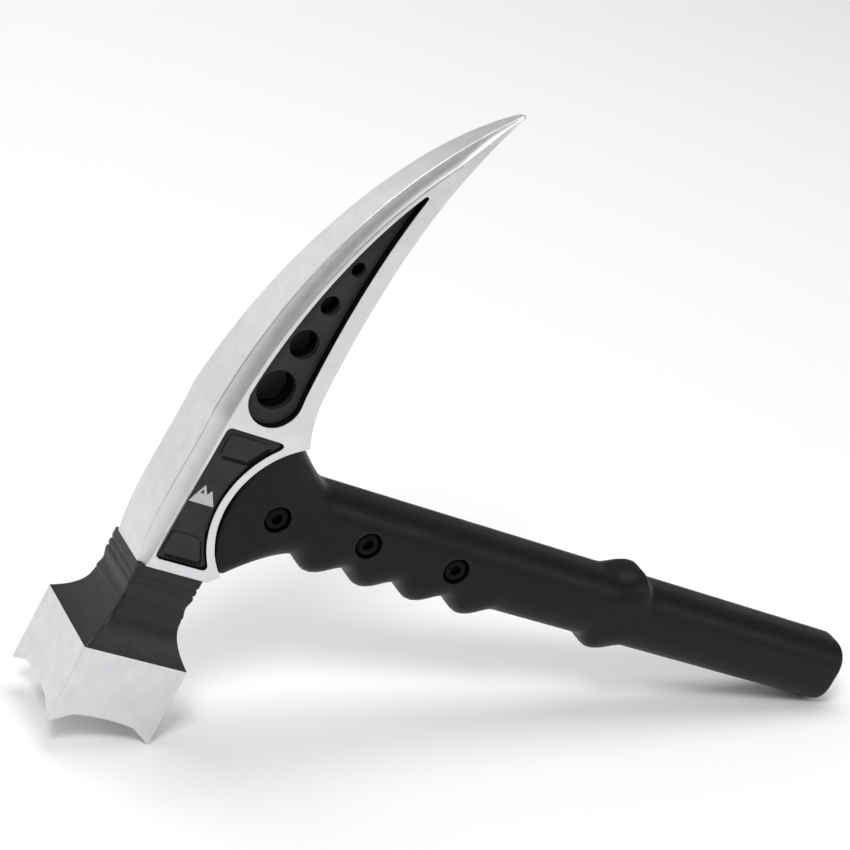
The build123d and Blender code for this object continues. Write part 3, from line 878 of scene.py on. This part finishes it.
def paint_pockets_and_shade(piece, s, panel, handle):
    """Gives the black filler to the faces that lie under the side faces, inside the pockets: partly their real black
    paint, partly painted shade on the walls, while level hole floors take the lighter inlay finish as if lit; the
    seat's faces get the filler as painted shade in the gap round the handle's nose.
    """
    mesh = piece.data
    centres = np.empty(len(mesh.polygons) * 3)
    mesh.polygons.foreach_get("center", centres)
    corner = placed(np.zeros(3), s, handle)
    lean_x = placed(np.array((1000.0, 0, 0)), s, handle) - corner
    lean_y = placed(np.array((0, 1000.0, 0)), s, handle) - corner
    from_corner = (centres.reshape(-1, 3) - corner) * 1000
    x, y, z = from_corner @ lean_x, from_corner @ lean_y, np.abs(from_corner[:, 1])
    half = np.where(y < s.pick_base, s.body_half, side_half(s, y))
    front = spine_x(s, y) + s.bevel_width + 0.5
    body_back = np.hypot(x - s.seat_x, y - s.seat_y) > s.seat_radius + 1
    back = np.where(y < s.pick_base, body_back, x < back_x(s, y) - 3)
    inside = (z < half - 0.2) & (x > front) & back & (y > s.body_bottom + 1) & (y < panel.top + 3)
    normals = np.empty(len(mesh.polygons) * 3)
    mesh.polygons.foreach_get("normal", normals)
    # level faces are the hole floors, and they take the lighter inlay finish while the walls keep the darker filler:
    # lit and shaded copies of one black paint
    level = np.abs(normals.reshape(-1, 3)[:, 1]) > 0.9
    # the seat's faces get the filler too: painted shade, a dark line in the gap between the handle's nose and the head
    seat = (np.abs(np.hypot(x - s.seat_x, y - s.seat_y) - s.seat_radius) < 0.3) & (z < half - 0.1) & ~level
    index = np.where(inside, np.where(level, 2, 1), np.where(seat, 1, 0))
    mesh.polygons.foreach_set("material_index", index)


RING_GROOVES = ((-29.4, 1.6, 0.3), (-31.9, 1.6, 0.32), (-36.4, 7.0, 0.5), (-40.4, 1.2, 0.18))


def groove(height, middle, width):
    """A soft groove: half a cosine wave to each side of its middle."""
    away = np.clip(np.abs(height - middle) / (width / 2), 0, 1)
    return (1 + np.cos(pi * away)) / 2


class ICE_OT_neck(bpy.types.Operator):
    """Neck: square, grooved all round, and flared out to the poll"""

    bl_idname = "ice.neck"
    bl_label = "Neck"

    def execute(self, context):
        s, handle = millimetres(context.scene.ice_head), millimetres(context.scene.ice_handle)
        shell = Shell()
        middle = s.neck_front + s.neck_size / 2
        heights = np.linspace(s.body_bottom, s.flare_top, 76)[:-1]
        cut = sum(deep * groove(heights, at, wide) for at, wide, deep in RING_GROOVES)
        halves = s.neck_size / 2 - cut
        part = np.linspace(0, 1, 13)
        flare = s.flare_top + (s.poll_top - s.flare_top) * part
        flare_half = (s.neck_size + (s.poll_size - s.neck_size) * part**2) / 2
        places = np.full(len(heights), middle)
        heights, halves = np.concatenate((heights, flare)), np.concatenate((halves, flare_half))
        places = np.concatenate((places, middle + (s.poll_size / 2 - middle) * part))
        square_stack(shell, heights, halves, places)

        def weigh(centres):
            """The corners are rounded, but not the two ends, where the casting goes on."""
            y = side_y(centres, s, handle)
            return np.where((y > s.body_bottom - 0.05) | (y < s.poll_top + 0.05), 0.0, 1.0)

        coat = finish("Satin black coating", satin_coat, context)
        shell.make("neck", (s, handle), coat, "head_steel", ["head_casting"], 0.7, weigh, smooth=40)
        return {"FINISHED"}


def side_y(points, s, handle):
    """Height in the side view of points in the frame."""
    corner = placed(np.zeros(3), s, handle)
    return (points - corner) @ (placed(np.array((0, 1000.0, 0)), s, handle) - corner) * 1000


def face_steps(s):
    """Places across the poll at which its face changes slope, with some between them."""
    inner = s.poll_size / 2 - s.prong_width
    outer = s.poll_size / 2 - s.prong_tip
    half = np.concatenate((np.linspace(0, inner, 5), np.linspace(inner, outer, 4)[1:], (s.poll_size / 2,)))
    return np.concatenate((-half[:0:-1], half))


def square_stack(shell, heights, halves, places):
    """Squares one over the other: each row is a square's edge, and both ends are closed."""
    across = np.linspace(-1, 1, 13)
    line = across[:-1]
    ones = np.ones_like(line)
    x = np.concatenate((line, ones, -line, -ones))
    z = np.concatenate((-ones, line, ones, -line))
    rows = np.stack((
        places[:, None] + halves[:, None] * x,
        heights[:, None] + 0 * x,
        halves[:, None] * z,
    ), axis=-1)
    shell.grid(rows, closed=True)
    for row in (0, -1):
        u, w = np.meshgrid(across, across, indexing="ij")
        shell.grid(np.stack((places[row] + halves[row] * u, 0 * u + heights[row], halves[row] * w), axis=-1))


class ICE_OT_poll(bpy.types.Operator):
    """Poll: square block with a prong left at each corner of its hollow face"""

    bl_idname = "ice.poll"
    bl_label = "Poll"

    def execute(self, context):
        s, handle = millimetres(context.scene.ice_head), millimetres(context.scene.ice_handle)
        shell = Shell()
        steps = face_steps(s)
        middle = s.poll_size / 2
        u, w = np.meshgrid(steps, steps, indexing="ij")
        valley = s.poll_end + s.prong_height
        inner, outer = middle - s.prong_width, middle - s.prong_tip

        def channel(place):
            """Roof of the channel cut across the face: an arc between two straight slopes."""
            away = np.abs(place)
            crown = valley + s.face_hollow * (1 - (away / inner) ** 2)
            slope = valley - s.prong_height * (away - inner) / (outer - inner)
            return np.where(away < inner, crown, np.maximum(slope, s.poll_end))

        face = np.maximum(channel(u), channel(w))
        shell.grid(np.stack((middle + u, face, w), axis=-1))
        shell.grid(np.stack((middle + u, 0 * u + s.poll_top, w), axis=-1))
        edge = face[0]
        line, drop = steps[:-1], edge[:-1]
        ones = np.full_like(line, middle)
        x = np.concatenate((line, ones, -line, -ones))
        z = np.concatenate((-ones, line, ones, -line))
        low = np.concatenate((drop, drop, drop, drop))
        share = np.linspace(0, 1, 6)[:, None]
        y = s.poll_top + (low - s.poll_top) * share
        shell.grid(np.stack((middle + x + 0 * y, y, z + 0 * y), axis=-1), closed=True)

        def weigh(centres):
            y = side_y(centres, s, handle)
            weight = np.where(y < s.poll_end + 0.6, 0.4, 1.0)
            return np.where(y > s.poll_top - 0.05, 0.0, weight)

        steel = finish("Blasted cast steel", blasted_steel, context)
        shell.make("poll", (s, handle), steel, "head_steel", ["head_casting"], s.edge_round * 1.2, weigh, smooth=20)
        return {"FINISHED"}


class ICE_OT_inlays(bpy.types.Operator):
    """Inlays: black plates in the pockets of both sides, and a badge on the shown side"""

    bl_idname = "ice.inlays"
    bl_label = "Inlays and badge"

    def execute(self, context):
        s, panel = millimetres(context.scene.ice_head), millimetres(context.scene.ice_inlay)
        handle = millimetres(context.scene.ice_handle)
        abs_black = finish("Textured black ABS", textured_inlay, context)
        for side, flip in (("left", 1), ("right", -1)):
            shell = OneSide(flip)
            sides = pick_panel(s, panel, panel.gap, 61, 17)
            high, low = panel.pocket_depth - panel.plate, panel.pocket_depth
            flat = patch(*sides, fade=PANEL_FADE)
            rims = holed_face(shell, s, flat, high)
            holed_face(shell, s, flat, low)
            for line in (loop_of(sides), *rims):
                shell.both(np.stack([on_face(s, line, depth) for depth in np.linspace(high, low, 3)]), closed=True)
            node = f"pick_inlay_{side}"
            shell.make(f"pick_panel_{side}", (s, handle), abs_black, "inlay", [node], 0.18)

            shell = OneSide(flip)
            sides = body_panel(s, panel, panel.gap, 31, 25)
            base = s.body_half - panel.body_pocket_depth
            slab(shell, sides, base, base + panel.body_plate)
            for corners in PAD_CORNERS:
                corners = np.array(corners)
                edges = [np.array((corners[k], corners[(k + 1) % 4])) for k in range(4)]
                made = rounded_sides(edges, 1.0, (5, 5, 5, 5), steps=3)
                pad = (made[0], made[1], made[2][::-1], made[3][::-1])
                face = base + panel.body_plate
                slab(shell, pad, face - 0.3, face + panel.pad_height)
                # painted shadow: a thin sheet under the pad, shifted to its lower right, whose top gets the black
                # filler
                foot = tuple(line + PAD_SHADOW_SHIFT for line in pad)
                slab(shell, foot, face - 0.2, face + PAD_SHADOW)
            node = f"body_inlay_{side}"
            piece = shell.make(f"body_panel_{side}", (s, handle), abs_black, "inlay", [node], 0.18)
            piece.data.materials.append(finish("Black filler and painted shade", black_filler_and_shade, context))
            paint_pad_shadows(piece, face)
        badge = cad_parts["badge"]
        badge.data.materials.clear()
        badge.data.materials.append(finish("Pale printing ink", pale_print, context))
        return {"FINISHED"}


def paint_pad_shadows(piece, face):
    """Gives the black filler to the faces that lie just over the plate: the tops of the thin sheets under the pads, a
    painted shadow along the pads' lower and right edges.
    """
    mesh = piece.data
    centres = np.empty(len(mesh.polygons) * 3)
    mesh.polygons.foreach_get("center", centres)
    over = np.abs(centres[1::3]) * 1000 - face
    mesh.polygons.foreach_set("material_index", ((over > PAD_SHADOW / 2) & (over < PAD_SHADOW * 1.5)).astype(int))


class OneSide(Shell):
    """A shell on the shown side, or on the far side when flipped."""

    def __init__(self, flip):
        super().__init__()
        self.flip = flip

    def both(self, points, **words):
        self.grid(points * (1, 1, self.flip), **words)


def slab(shell, sides, low, high):
    """A flat plate: the patch of its outline below and above, and the wall between them."""
    flat = patch(*sides)
    shell.both(raised(flat, high))
    shell.both(raised(flat, low))
    shell.both(np.stack([raised(loop_of(sides), z) for z in np.linspace(low, high, 3)]), closed=True)


# ---- handle ----
NOSE_TOP_END = 60.0
NOSE_BOTTOM_END = 57.4
NOSE_ROWS_END = 68.0
CORNER_STEPS = 7
SIDE_STEPS = 8
EDGE_STEPS = 3
STOP_X, THUMB_X = 178.5, 185.0
STOP_SHORT, STOP_LONG = 6.8, 12.5
RIDGE_COUNT = 4


def swell(x, peak, rise, fall):
    """A rounded hump of height one: half a cosine wave up, and half a wave down."""
    away = np.where(x < peak, (peak - x) / rise, (x - peak) / fall)
    return np.where(away < 1, (1 + np.cos(pi * np.clip(away, 0, 1))) / 2, 0)


def half_depth(p, x):
    share = np.clip((x - NOSE_TOP_END) / (p.end - NOSE_TOP_END), 0, None)
    return (p.depth + (p.butt_depth - p.depth) * share) / 2


def handle_top(p, x):
    """Upper outline: half the depth, a horn that rises towards the nose, and the thumb stop."""
    nose = np.clip((NOSE_TOP_END - x) / (NOSE_TOP_END - 41.6), 0, None)
    return half_depth(p, x) + 13.0 * nose**1.3 + p.stop_height * swell(x, THUMB_X, STOP_LONG, STOP_SHORT)


def handle_bottom(p, x):
    """Lower outline: half the depth, a horn, the finger ridges and the finger stop, all downward."""
    nose = np.clip((NOSE_BOTTOM_END - x) / 18.0, 0, None)
    deep = half_depth(p, x) + 11.0 * nose**1.5 + p.stop_height * swell(x, STOP_X, STOP_SHORT, STOP_LONG)
    for number in range(RIDGE_COUNT):
        peak = p.ridge_start + number * p.ridge_pitch
        deep = deep + p.ridge_height * swell(x, peak, p.ridge_rise, p.ridge_pitch - p.ridge_rise)
    return -deep


def side_height(p, x, y):
    """How far the handle's surface stands out at a place in the side view: flat, then a quarter round."""
    top, bottom = handle_top(p, x), handle_bottom(p, x)
    past = np.abs(y - (top + bottom) / 2) - ((top - bottom) / 2 - p.corner)
    return p.thickness / 2 - p.corner + np.sqrt(np.clip(p.corner**2 - np.clip(past, 0, p.corner) ** 2, 0, None))


def section_plan(p):
    """Round the section: which edge each point belongs to, its turn on a corner, its share on a flat."""
    turn = np.linspace(0, pi / 2, CORNER_STEPS + 1)
    flat = np.linspace(-1, 1, SIDE_STEPS + 1)
    edge = np.linspace(1, -1, EDGE_STEPS + 1)
    up = [("side", w) for w in flat] + [("corner", t) for t in turn[1:-1]] + [("edge", w) for w in edge]
    return up


def section_points(p, x_of, inset):
    """One row round the handle.

    A point's height is the flat part's share, or the flat part's end plus the corner radius times the sine
    of its turn. Its z is half the thickness, or less by the corner radius times one minus the cosine.
    """
    turn = np.linspace(0, pi / 2, CORNER_STEPS + 1)[1:-1]
    flat = np.linspace(-1, 1, SIDE_STEPS + 1)
    edge = np.linspace(1, -1, EDGE_STEPS + 1)
    radius = p.corner - inset
    half = p.thickness / 2 - inset
    # sign, share of the flat, sine part and z of every point, from the shown side's bottom upward
    part = [np.stack((0 * flat, flat, 0 * flat, 0 * flat + half), axis=1)]
    part.append(np.stack((0 * turn + 1, 0 * turn + 1, np.sin(turn), half - radius + radius * np.cos(turn)), axis=1))
    part.append(np.stack((0 * edge + 1, 0 * edge + 1, 0 * edge + 1, (half - radius) * edge), axis=1))
    part.append(np.stack((0 * turn + 1, 0 * turn + 1, np.cos(turn), -half + radius - radius * np.sin(turn)), axis=1))
    part.append(np.stack((0 * flat, -flat, 0 * flat, 0 * flat - half), axis=1))
    part.append(np.stack((0 * turn - 1, 0 * turn - 1, np.sin(turn), -half + radius - radius * np.cos(turn)), axis=1))
    part.append(np.stack((0 * edge - 1, 0 * edge - 1, 0 * edge + 1, -(half - radius) * edge), axis=1))
    part.append(np.stack((0 * turn - 1, 0 * turn - 1, np.cos(turn), half - radius + radius * np.sin(turn)), axis=1))
    plan = np.concatenate(part)
    sign, share, sine, z = plan.T
    x = np.full(len(plan), float(x_of(0.0)))
    for _ in range(6):
        top, bottom = handle_top(p, x) - inset, handle_bottom(p, x) + inset
        level = (top - bottom) / 2 - radius
        y = (top + bottom) / 2 + share * level + np.sign(sign) * radius * sine
        x = x_of((y - (top + bottom) / 2) / ((top - bottom) / 2))
    return np.stack((x + 0 * y, y, z), axis=1)


class ICE_OT_handle(bpy.types.Operator):
    """Handle: one moulding with a concave-fitting nose, finger ridges, stops and counterbores"""

    bl_idname = "ice.handle"
    bl_label = "Handle"

    def execute(self, context):
        s, p = millimetres(context.scene.ice_head), millimetres(context.scene.ice_handle)
        bolt = millimetres(context.scene.ice_bolt)
        bolts = bolt.start + bolt.pitch * np.arange(3)
        shell = Shell()

        def arc_x(y):
            return s.seat_x - np.sqrt(np.clip(p.nose_radius**2 - (y - s.seat_y) ** 2, 0, None))

        trial = np.linspace(34, 50, 1600)
        horns = []
        for outline in (handle_bottom(p, trial), handle_top(p, trial)):
            inside = np.hypot(trial - s.seat_x, outline - s.seat_y) < p.nose_radius
            horns.append(trial[np.argmax(inside)])
        low_x, high_x = horns
        low_y, high_y = handle_bottom(p, np.float64(low_x)), handle_top(p, np.float64(high_x))

        def nose_row(share):
            """Rows change from the nose's arc to straight across: the arc's bow fades as a square."""
            def x_of(v):
                v = np.asarray(v, float)
                level = (v + 1) / 2
                y = low_y + (high_y - low_y) * level
                chord = low_x + (high_x - low_x) * level
                start = chord + (arc_x(y) - chord) * (1 - share) ** 2
                first = start + 0 * v
                straight = NOSE_ROWS_END
                return first + (straight - chord) * share if share else first
            return x_of

        rows = []
        nose = p.nose_round
        turns = np.linspace(0, pi / 2, 5)
        reach = NOSE_ROWS_END - s.seat_x + p.nose_radius
        for turn in turns[:-1]:
            inset, ahead = nose * (1 - sin(turn)), nose * (1 - cos(turn))
            rows.append(section_points(p, nose_row(ahead / reach), inset))
        shares = np.concatenate((np.linspace(nose / reach, 0.22, 4), np.linspace(0.26, 0.62, 10), np.linspace(0.7, 1, 6)))
        for value in shares:
            rows.append(section_points(p, nose_row(value), 0.0))
        nose_count = len(rows)
        marks = [NOSE_ROWS_END, bolts[1] - 7, bolts[1] + 7, bolts[2] - 7, bolts[2] + 7, 164, 200, p.end - p.butt_round]
        counts = (2, 9, 12, 9, 28, 30, 40)
        straight = []
        for first, last, count in zip(marks, marks[1:], counts):
            straight.append(np.linspace(first, last, count + 1)[1:])
        straight = np.concatenate(straight)
        for x in straight:
            rows.append(section_points(p, lambda v, x=x: x + 0 * np.asarray(v, float), 0.0))
        for turn in np.linspace(0, pi / 2, 5)[1:]:
            x = p.end - p.butt_round * (1 - sin(turn))
            rows.append(section_points(p, lambda v, x=x: x + 0 * np.asarray(v, float), p.butt_round * (1 - cos(turn))))
        points = np.stack(rows)

        # counterbores: blocks of the sides are opened, and rings lead to each round bore
        columns = points.shape[1]
        left, right = columns - 3, SIDE_STEPS + 3
        shifted = np.roll(points, 3, axis=1)
        width = SIDE_STEPS + 6
        far = SIDE_STEPS + 1 + CORNER_STEPS - 1 + EDGE_STEPS + 1 + CORNER_STEPS - 1
        side_middle = points[:, SIDE_STEPS // 2, 0]
        blocks = []
        openings = []
        for x in bolts:
            first = int(np.searchsorted(side_middle, x - 7.4))
            last = int(np.searchsorted(side_middle, x + 7.0 - 1e-6))
            near = (first, last, 0, width)
            other = (first, last, far, far + width)
            blocks += [near, other]
            openings.append((x, near, other))
        shell.grid(shifted, closed=True, holes=blocks)
        half = p.thickness / 2
        deep = half - bolt.bore_depth
        for x, near, other in openings:
            centre = np.array((x, 0.0))
            rims = []
            for block, flip in ((near, 1), (other, -1)):
                loop = border(shifted, block)
                rings = rings_to_circle(loop, centre, bolt.bore, 6)
                z = side_height(p, rings[..., 0], rings[..., 1])
                ring = np.concatenate((rings, flip * z[..., None]), axis=-1)
                ring[0] = loop
                lip = rings[-1]
                wall = [np.concatenate((lip, flip * z[-1][:, None]), axis=-1)]
                for level in (deep + 2.4, deep + 1.2, deep):
                    wall.append(raised(lip, flip * level))
                inner = bolt.shank + 0.1 if flip == 1 else bolt.sleeve + 0.1
                seat = centre + (lip - centre) * inner / bolt.bore
                wall.append(raised(seat, flip * deep))
                shell.grid(ring, closed=True)
                shell.grid(np.stack(wall), closed=True)
                rims.append((centre, inner))
            around = np.linspace(0, 2 * pi, 41)[:-1]
            # the drilled barrel between the two seats
            near_rim = wall_rim(shifted, near, centre, bolt.shank + 0.1)
            far_rim = wall_rim(shifted, other, centre, bolt.sleeve + 0.1)
            near_rim, far_rim = raised(near_rim, deep), raised(far_rim, -deep)
            match = np.argmin(np.linalg.norm(far_rim[:, :2] / (bolt.sleeve + 0.1) - near_rim[0, :2] / (bolt.shank + 0.1) - centre / (bolt.sleeve + 0.1) + centre / (bolt.shank + 0.1), axis=1))
            ordered = np.roll(far_rim, -match, axis=0)
            if np.linalg.norm(ordered[1, :2] - centre - (near_rim[1, :2] - centre)) > np.linalg.norm(ordered[-1, :2] - centre - (near_rim[1, :2] - centre)):
                ordered = np.roll(far_rim[::-1], -(len(far_rim) - 1 - match), axis=0)
            step_in = ordered * (1, 1, 0) + (0, 0, 3.1)
            step_near = centre + (near_rim[:, :2] - centre)
            shell.grid(np.stack((near_rim, raised(step_near, 3.1), step_in, ordered)), closed=True)

        # closed ends: the nose's row runs in to the middle plane, the butt's row to its centre
        shell.grid(np.stack([shifted[0] * (1, 1, share) for share in (1, 0.66, 0.33, 0)]), closed=True)
        centre = np.array((p.end, 0.0, 0.0))
        shell.grid(np.stack([centre + share * (shifted[-1] - centre) for share in (1, 0.66, 0.33, 0)]), closed=True)

        def weigh(centres):
            """Only the counterbores' edges are rounded: the nose and the butt already are."""
            corner = placed(np.zeros(3), s, p)
            x = (centres - corner) @ (placed(np.array((1000.0, 0, 0)), s, p) - corner) * 1000
            y = side_y(centres, s, p)
            return (np.hypot(np.abs(x[:, None] - bolts).min(axis=1), y) < bolt.bore + 0.5).astype(float)

        nylon = finish("Moulded glass-filled nylon", moulded_nylon, context)
        shell.make("grip", (s, p), nylon, "handle_nylon", ["handle"], 0.3, weigh, smooth=40)
        return {"FINISHED"}


def wall_rim(points, block, centre, radius):
    """The circle of a given radius whose points lie in the directions of a block's border."""
    away = border(points, block)[:, :2] - centre
    lip = away / np.linalg.norm(away, axis=1)[:, None]
    return centre + radius * lip


class ICE_OT_bolts(bpy.types.Operator):
    """Bolts: hexagon socket screws, each in a sleeve nut from the far side"""

    bl_idname = "ice.bolts"
    bl_label = "Bolts and sleeve nuts"

    def execute(self, context):
        s, p = millimetres(context.scene.ice_head), millimetres(context.scene.ice_handle)
        bolt = millimetres(context.scene.ice_bolt)
        oxide = finish("Black oxide steel", oxide_steel, context)
        base = p.thickness / 2 - bolt.bore_depth
        top = base + bolt.head_height
        flat = bolt.socket / 2
        for number in range(3):
            x = bolt.start + bolt.pitch * number
            for name, node, flip, lower in (
                (f"bolt_head_{number + 1}", f"bolt_{number + 1}", 1, ((0, -3.5), (bolt.shank - 0.4, -3.5), (bolt.shank, -3.1), (bolt.shank, base))),
                (
                    f"sleeve_head_{number + 1}",
                    f"sleeve_nut_{number + 1}",
                    -1,
                    ((0, 3.6), (2.05, 3.6), (2.05, -3.0), (bolt.sleeve - 0.2, -3.0), (bolt.sleeve, -2.8), (bolt.sleeve, base)),
                ),
            ):
                head = bolt.head
                upper = ((head - 0.3, base), (head, base + 0.3), (head, top - 0.9), (head - 0.1, top - 0.5))
                upper += ((head - 0.35, top - 0.2), (head - 0.8, top))
                profile = [(radius, z, False) for radius, z in lower + upper]
                socket = ((flat + 0.3, top), (flat, top - 0.3), (flat, top - bolt.socket_depth), (flat * 0.5, top - bolt.socket_depth - 0.1), (0, top - bolt.socket_depth - 0.1))
                profile += [(radius, z, True) for radius, z in socket]
                shell = Shell()
                shell.grid(turned(profile, x, flip), closed=True)
                shell.make(name, (s, p), oxide, "bolt_steel", [node], 0.12, smooth=35)
        return {"FINISHED"}


def turned(profile, x, flip):
    """A profile turned about a bolt's axis; a hexagon's rows reach out to its flats' straight lines."""
    around = np.linspace(0, 2 * pi, 49)[:-1]
    hexagon = 1 / np.cos((around % (pi / 3)) - pi / 6)
    rows = []
    for radius, z, is_hexagon in profile:
        reach = radius * (hexagon if is_hexagon else 1)
        rows.append(np.stack((x + reach * np.cos(around), reach * np.sin(around), 0 * around + flip * z), axis=1))
    return np.stack(rows)


class ICE_OT_stage(bpy.types.Operator):
    """Stage: pale floor, soft studio lights and the camera"""

    bl_idname = "ice.stage"
    bl_label = "Stage"

    def execute(self, context):
        stage = context.scene.ice_stage
        half = stage.floor / 2
        mesh = bpy.data.meshes.new("floor")
        mesh.from_pydata([(-half, -half, 0), (half, -half, 0), (half, half, 0), (-half, half, 0)], [], [(0, 1, 2, 3)])
        floor = bpy.data.objects.new("floor", mesh)
        mesh.materials.append(finish("Plain pale floor", plain_floor, context))
        context.scene.collection.objects.link(floor)

        world = bpy.data.worlds.new("Studio")
        world.use_nodes = True
        # a soft box round the object: bright above, and duller towards the horizon
        tree = world.node_tree
        tree.nodes["Background"].inputs["Color"].default_value = (0.25, 0.25, 0.25, 1)
        sky = add_node(tree, "ShaderNodeTexCoord").outputs["Generated"]
        height = add_node(tree, "ShaderNodeSeparateXYZ", inputs={"Vector": sky}).outputs["Z"]
        glow = add_node(
            tree,
            "ShaderNodeMapRange",
            inputs={"Value": height, "From Min": 0.0, "From Max": 0.6, "To Min": 0.75, "To Max": 1.3},
        ).outputs["Result"]
        # a duller stretch of horizon, which the hollow bevels mirror
        facing = add_node(
            tree, "ShaderNodeVectorMath", settings={"operation": "DOT_PRODUCT"}, inputs={0: sky, 1: (-0.84, -0.54, 0.0)}
        )
        dull = add_node(
            tree,
            "ShaderNodeMapRange",
            inputs={"Value": facing.outputs["Value"], "From Min": 0.45, "From Max": 0.95, "To Min": 1.0, "To Max": 0.12},
        ).outputs["Result"]
        product = add_node(tree, "ShaderNodeMath", settings={"operation": "MULTIPLY"}, inputs={0: glow, 1: dull})
        tree.links.new(product.outputs["Value"], tree.nodes["Background"].inputs["Strength"])
        context.scene.world = world
        context.scene.view_settings.view_transform = "Standard"
        for name, place, size, power, tint in (
            ("key_light", (-0.9, -0.9, 1.6), 0.5, 16, (1, 1, 1)),
            ("fill_light", (1.3, -1.2, 0.9), 1.2, 8, (0.96, 0.98, 1)),
            ("top_light", (0.1, 0.4, 1.7), 1.0, 12, (1, 1, 1)),
            ("rim_light", (-1.3, 1.3, 0.9), 1.8, 9, (1, 1, 1)),
        ):
            data = bpy.data.lights.new(name, "AREA")
            data.size = size
            data.energy = power
            data.color = tint
            light = bpy.data.objects.new(name, data)
            light.location = place
            light.rotation_euler = (Vector((0, 0, 0.08)) - Vector(place)).to_track_quat("-Z", "Y").to_euler()
            context.scene.collection.objects.link(light)

        data = bpy.data.cameras.new("camera")
        data.sensor_width = 36
        data.lens = 127.06
        data.clip_end = 50
        camera = bpy.data.objects.new("camera", data)
        aim = Vector(stage.aim)
        level = cos(stage.elevation)
        out = Vector((sin(stage.azimuth) * level, -cos(stage.azimuth) * level, sin(stage.elevation)))
        camera.location = aim + out * stage.distance
        turn = (-out).to_track_quat("-Z", "Y") @ Quaternion((0, 0, 1), stage.roll)
        camera.rotation_euler = turn.to_euler()
        context.scene.collection.objects.link(camera)
        context.scene.camera = camera
        return {"FINISHED"}


class ICE_PT_panel(bpy.types.Panel):
    """Lists the pieces and their sizes"""

    bl_idname = "ICE_PT_panel"
    bl_label = "Ice hammer"
    bl_space_type = "VIEW_3D"
    bl_region_type = "UI"
    bl_category = "Ice hammer"

    def draw(self, context):
        for operator in OPERATORS:
            self.layout.operator(operator.bl_idname)
        for name, group in GROUPS.items():
            box = self.layout.box()
            box.label(text=group.__name__)
            for field in group.__annotations__:
                box.prop(getattr(context.scene, name), field)


OPERATORS = (
    ICE_OT_stage,
    ICE_OT_pick_and_body,
    ICE_OT_neck,
    ICE_OT_poll,
    ICE_OT_inlays,
    ICE_OT_handle,
    ICE_OT_bolts,
)


def register():
    for item in (*GROUPS.values(), *OPERATORS, ICE_PT_panel):
        bpy.utils.register_class(item)
    for name, group in GROUPS.items():
        setattr(bpy.types.Scene, name, bpy.props.PointerProperty(type=group))


def unregister():
    for name in GROUPS:
        delattr(bpy.types.Scene, name)
    for item in reversed((*GROUPS.values(), *OPERATORS, ICE_PT_panel)):
        bpy.utils.unregister_class(item)


def main():
    register()
    bpy.ops.ice.stage()
    bpy.ops.ice.pick_and_body()
    bpy.ops.ice.neck()
    bpy.ops.ice.poll()
    bpy.ops.ice.inlays()
    bpy.ops.ice.handle()
    bpy.ops.ice.bolts()


if __name__ == "__main__":
    main()
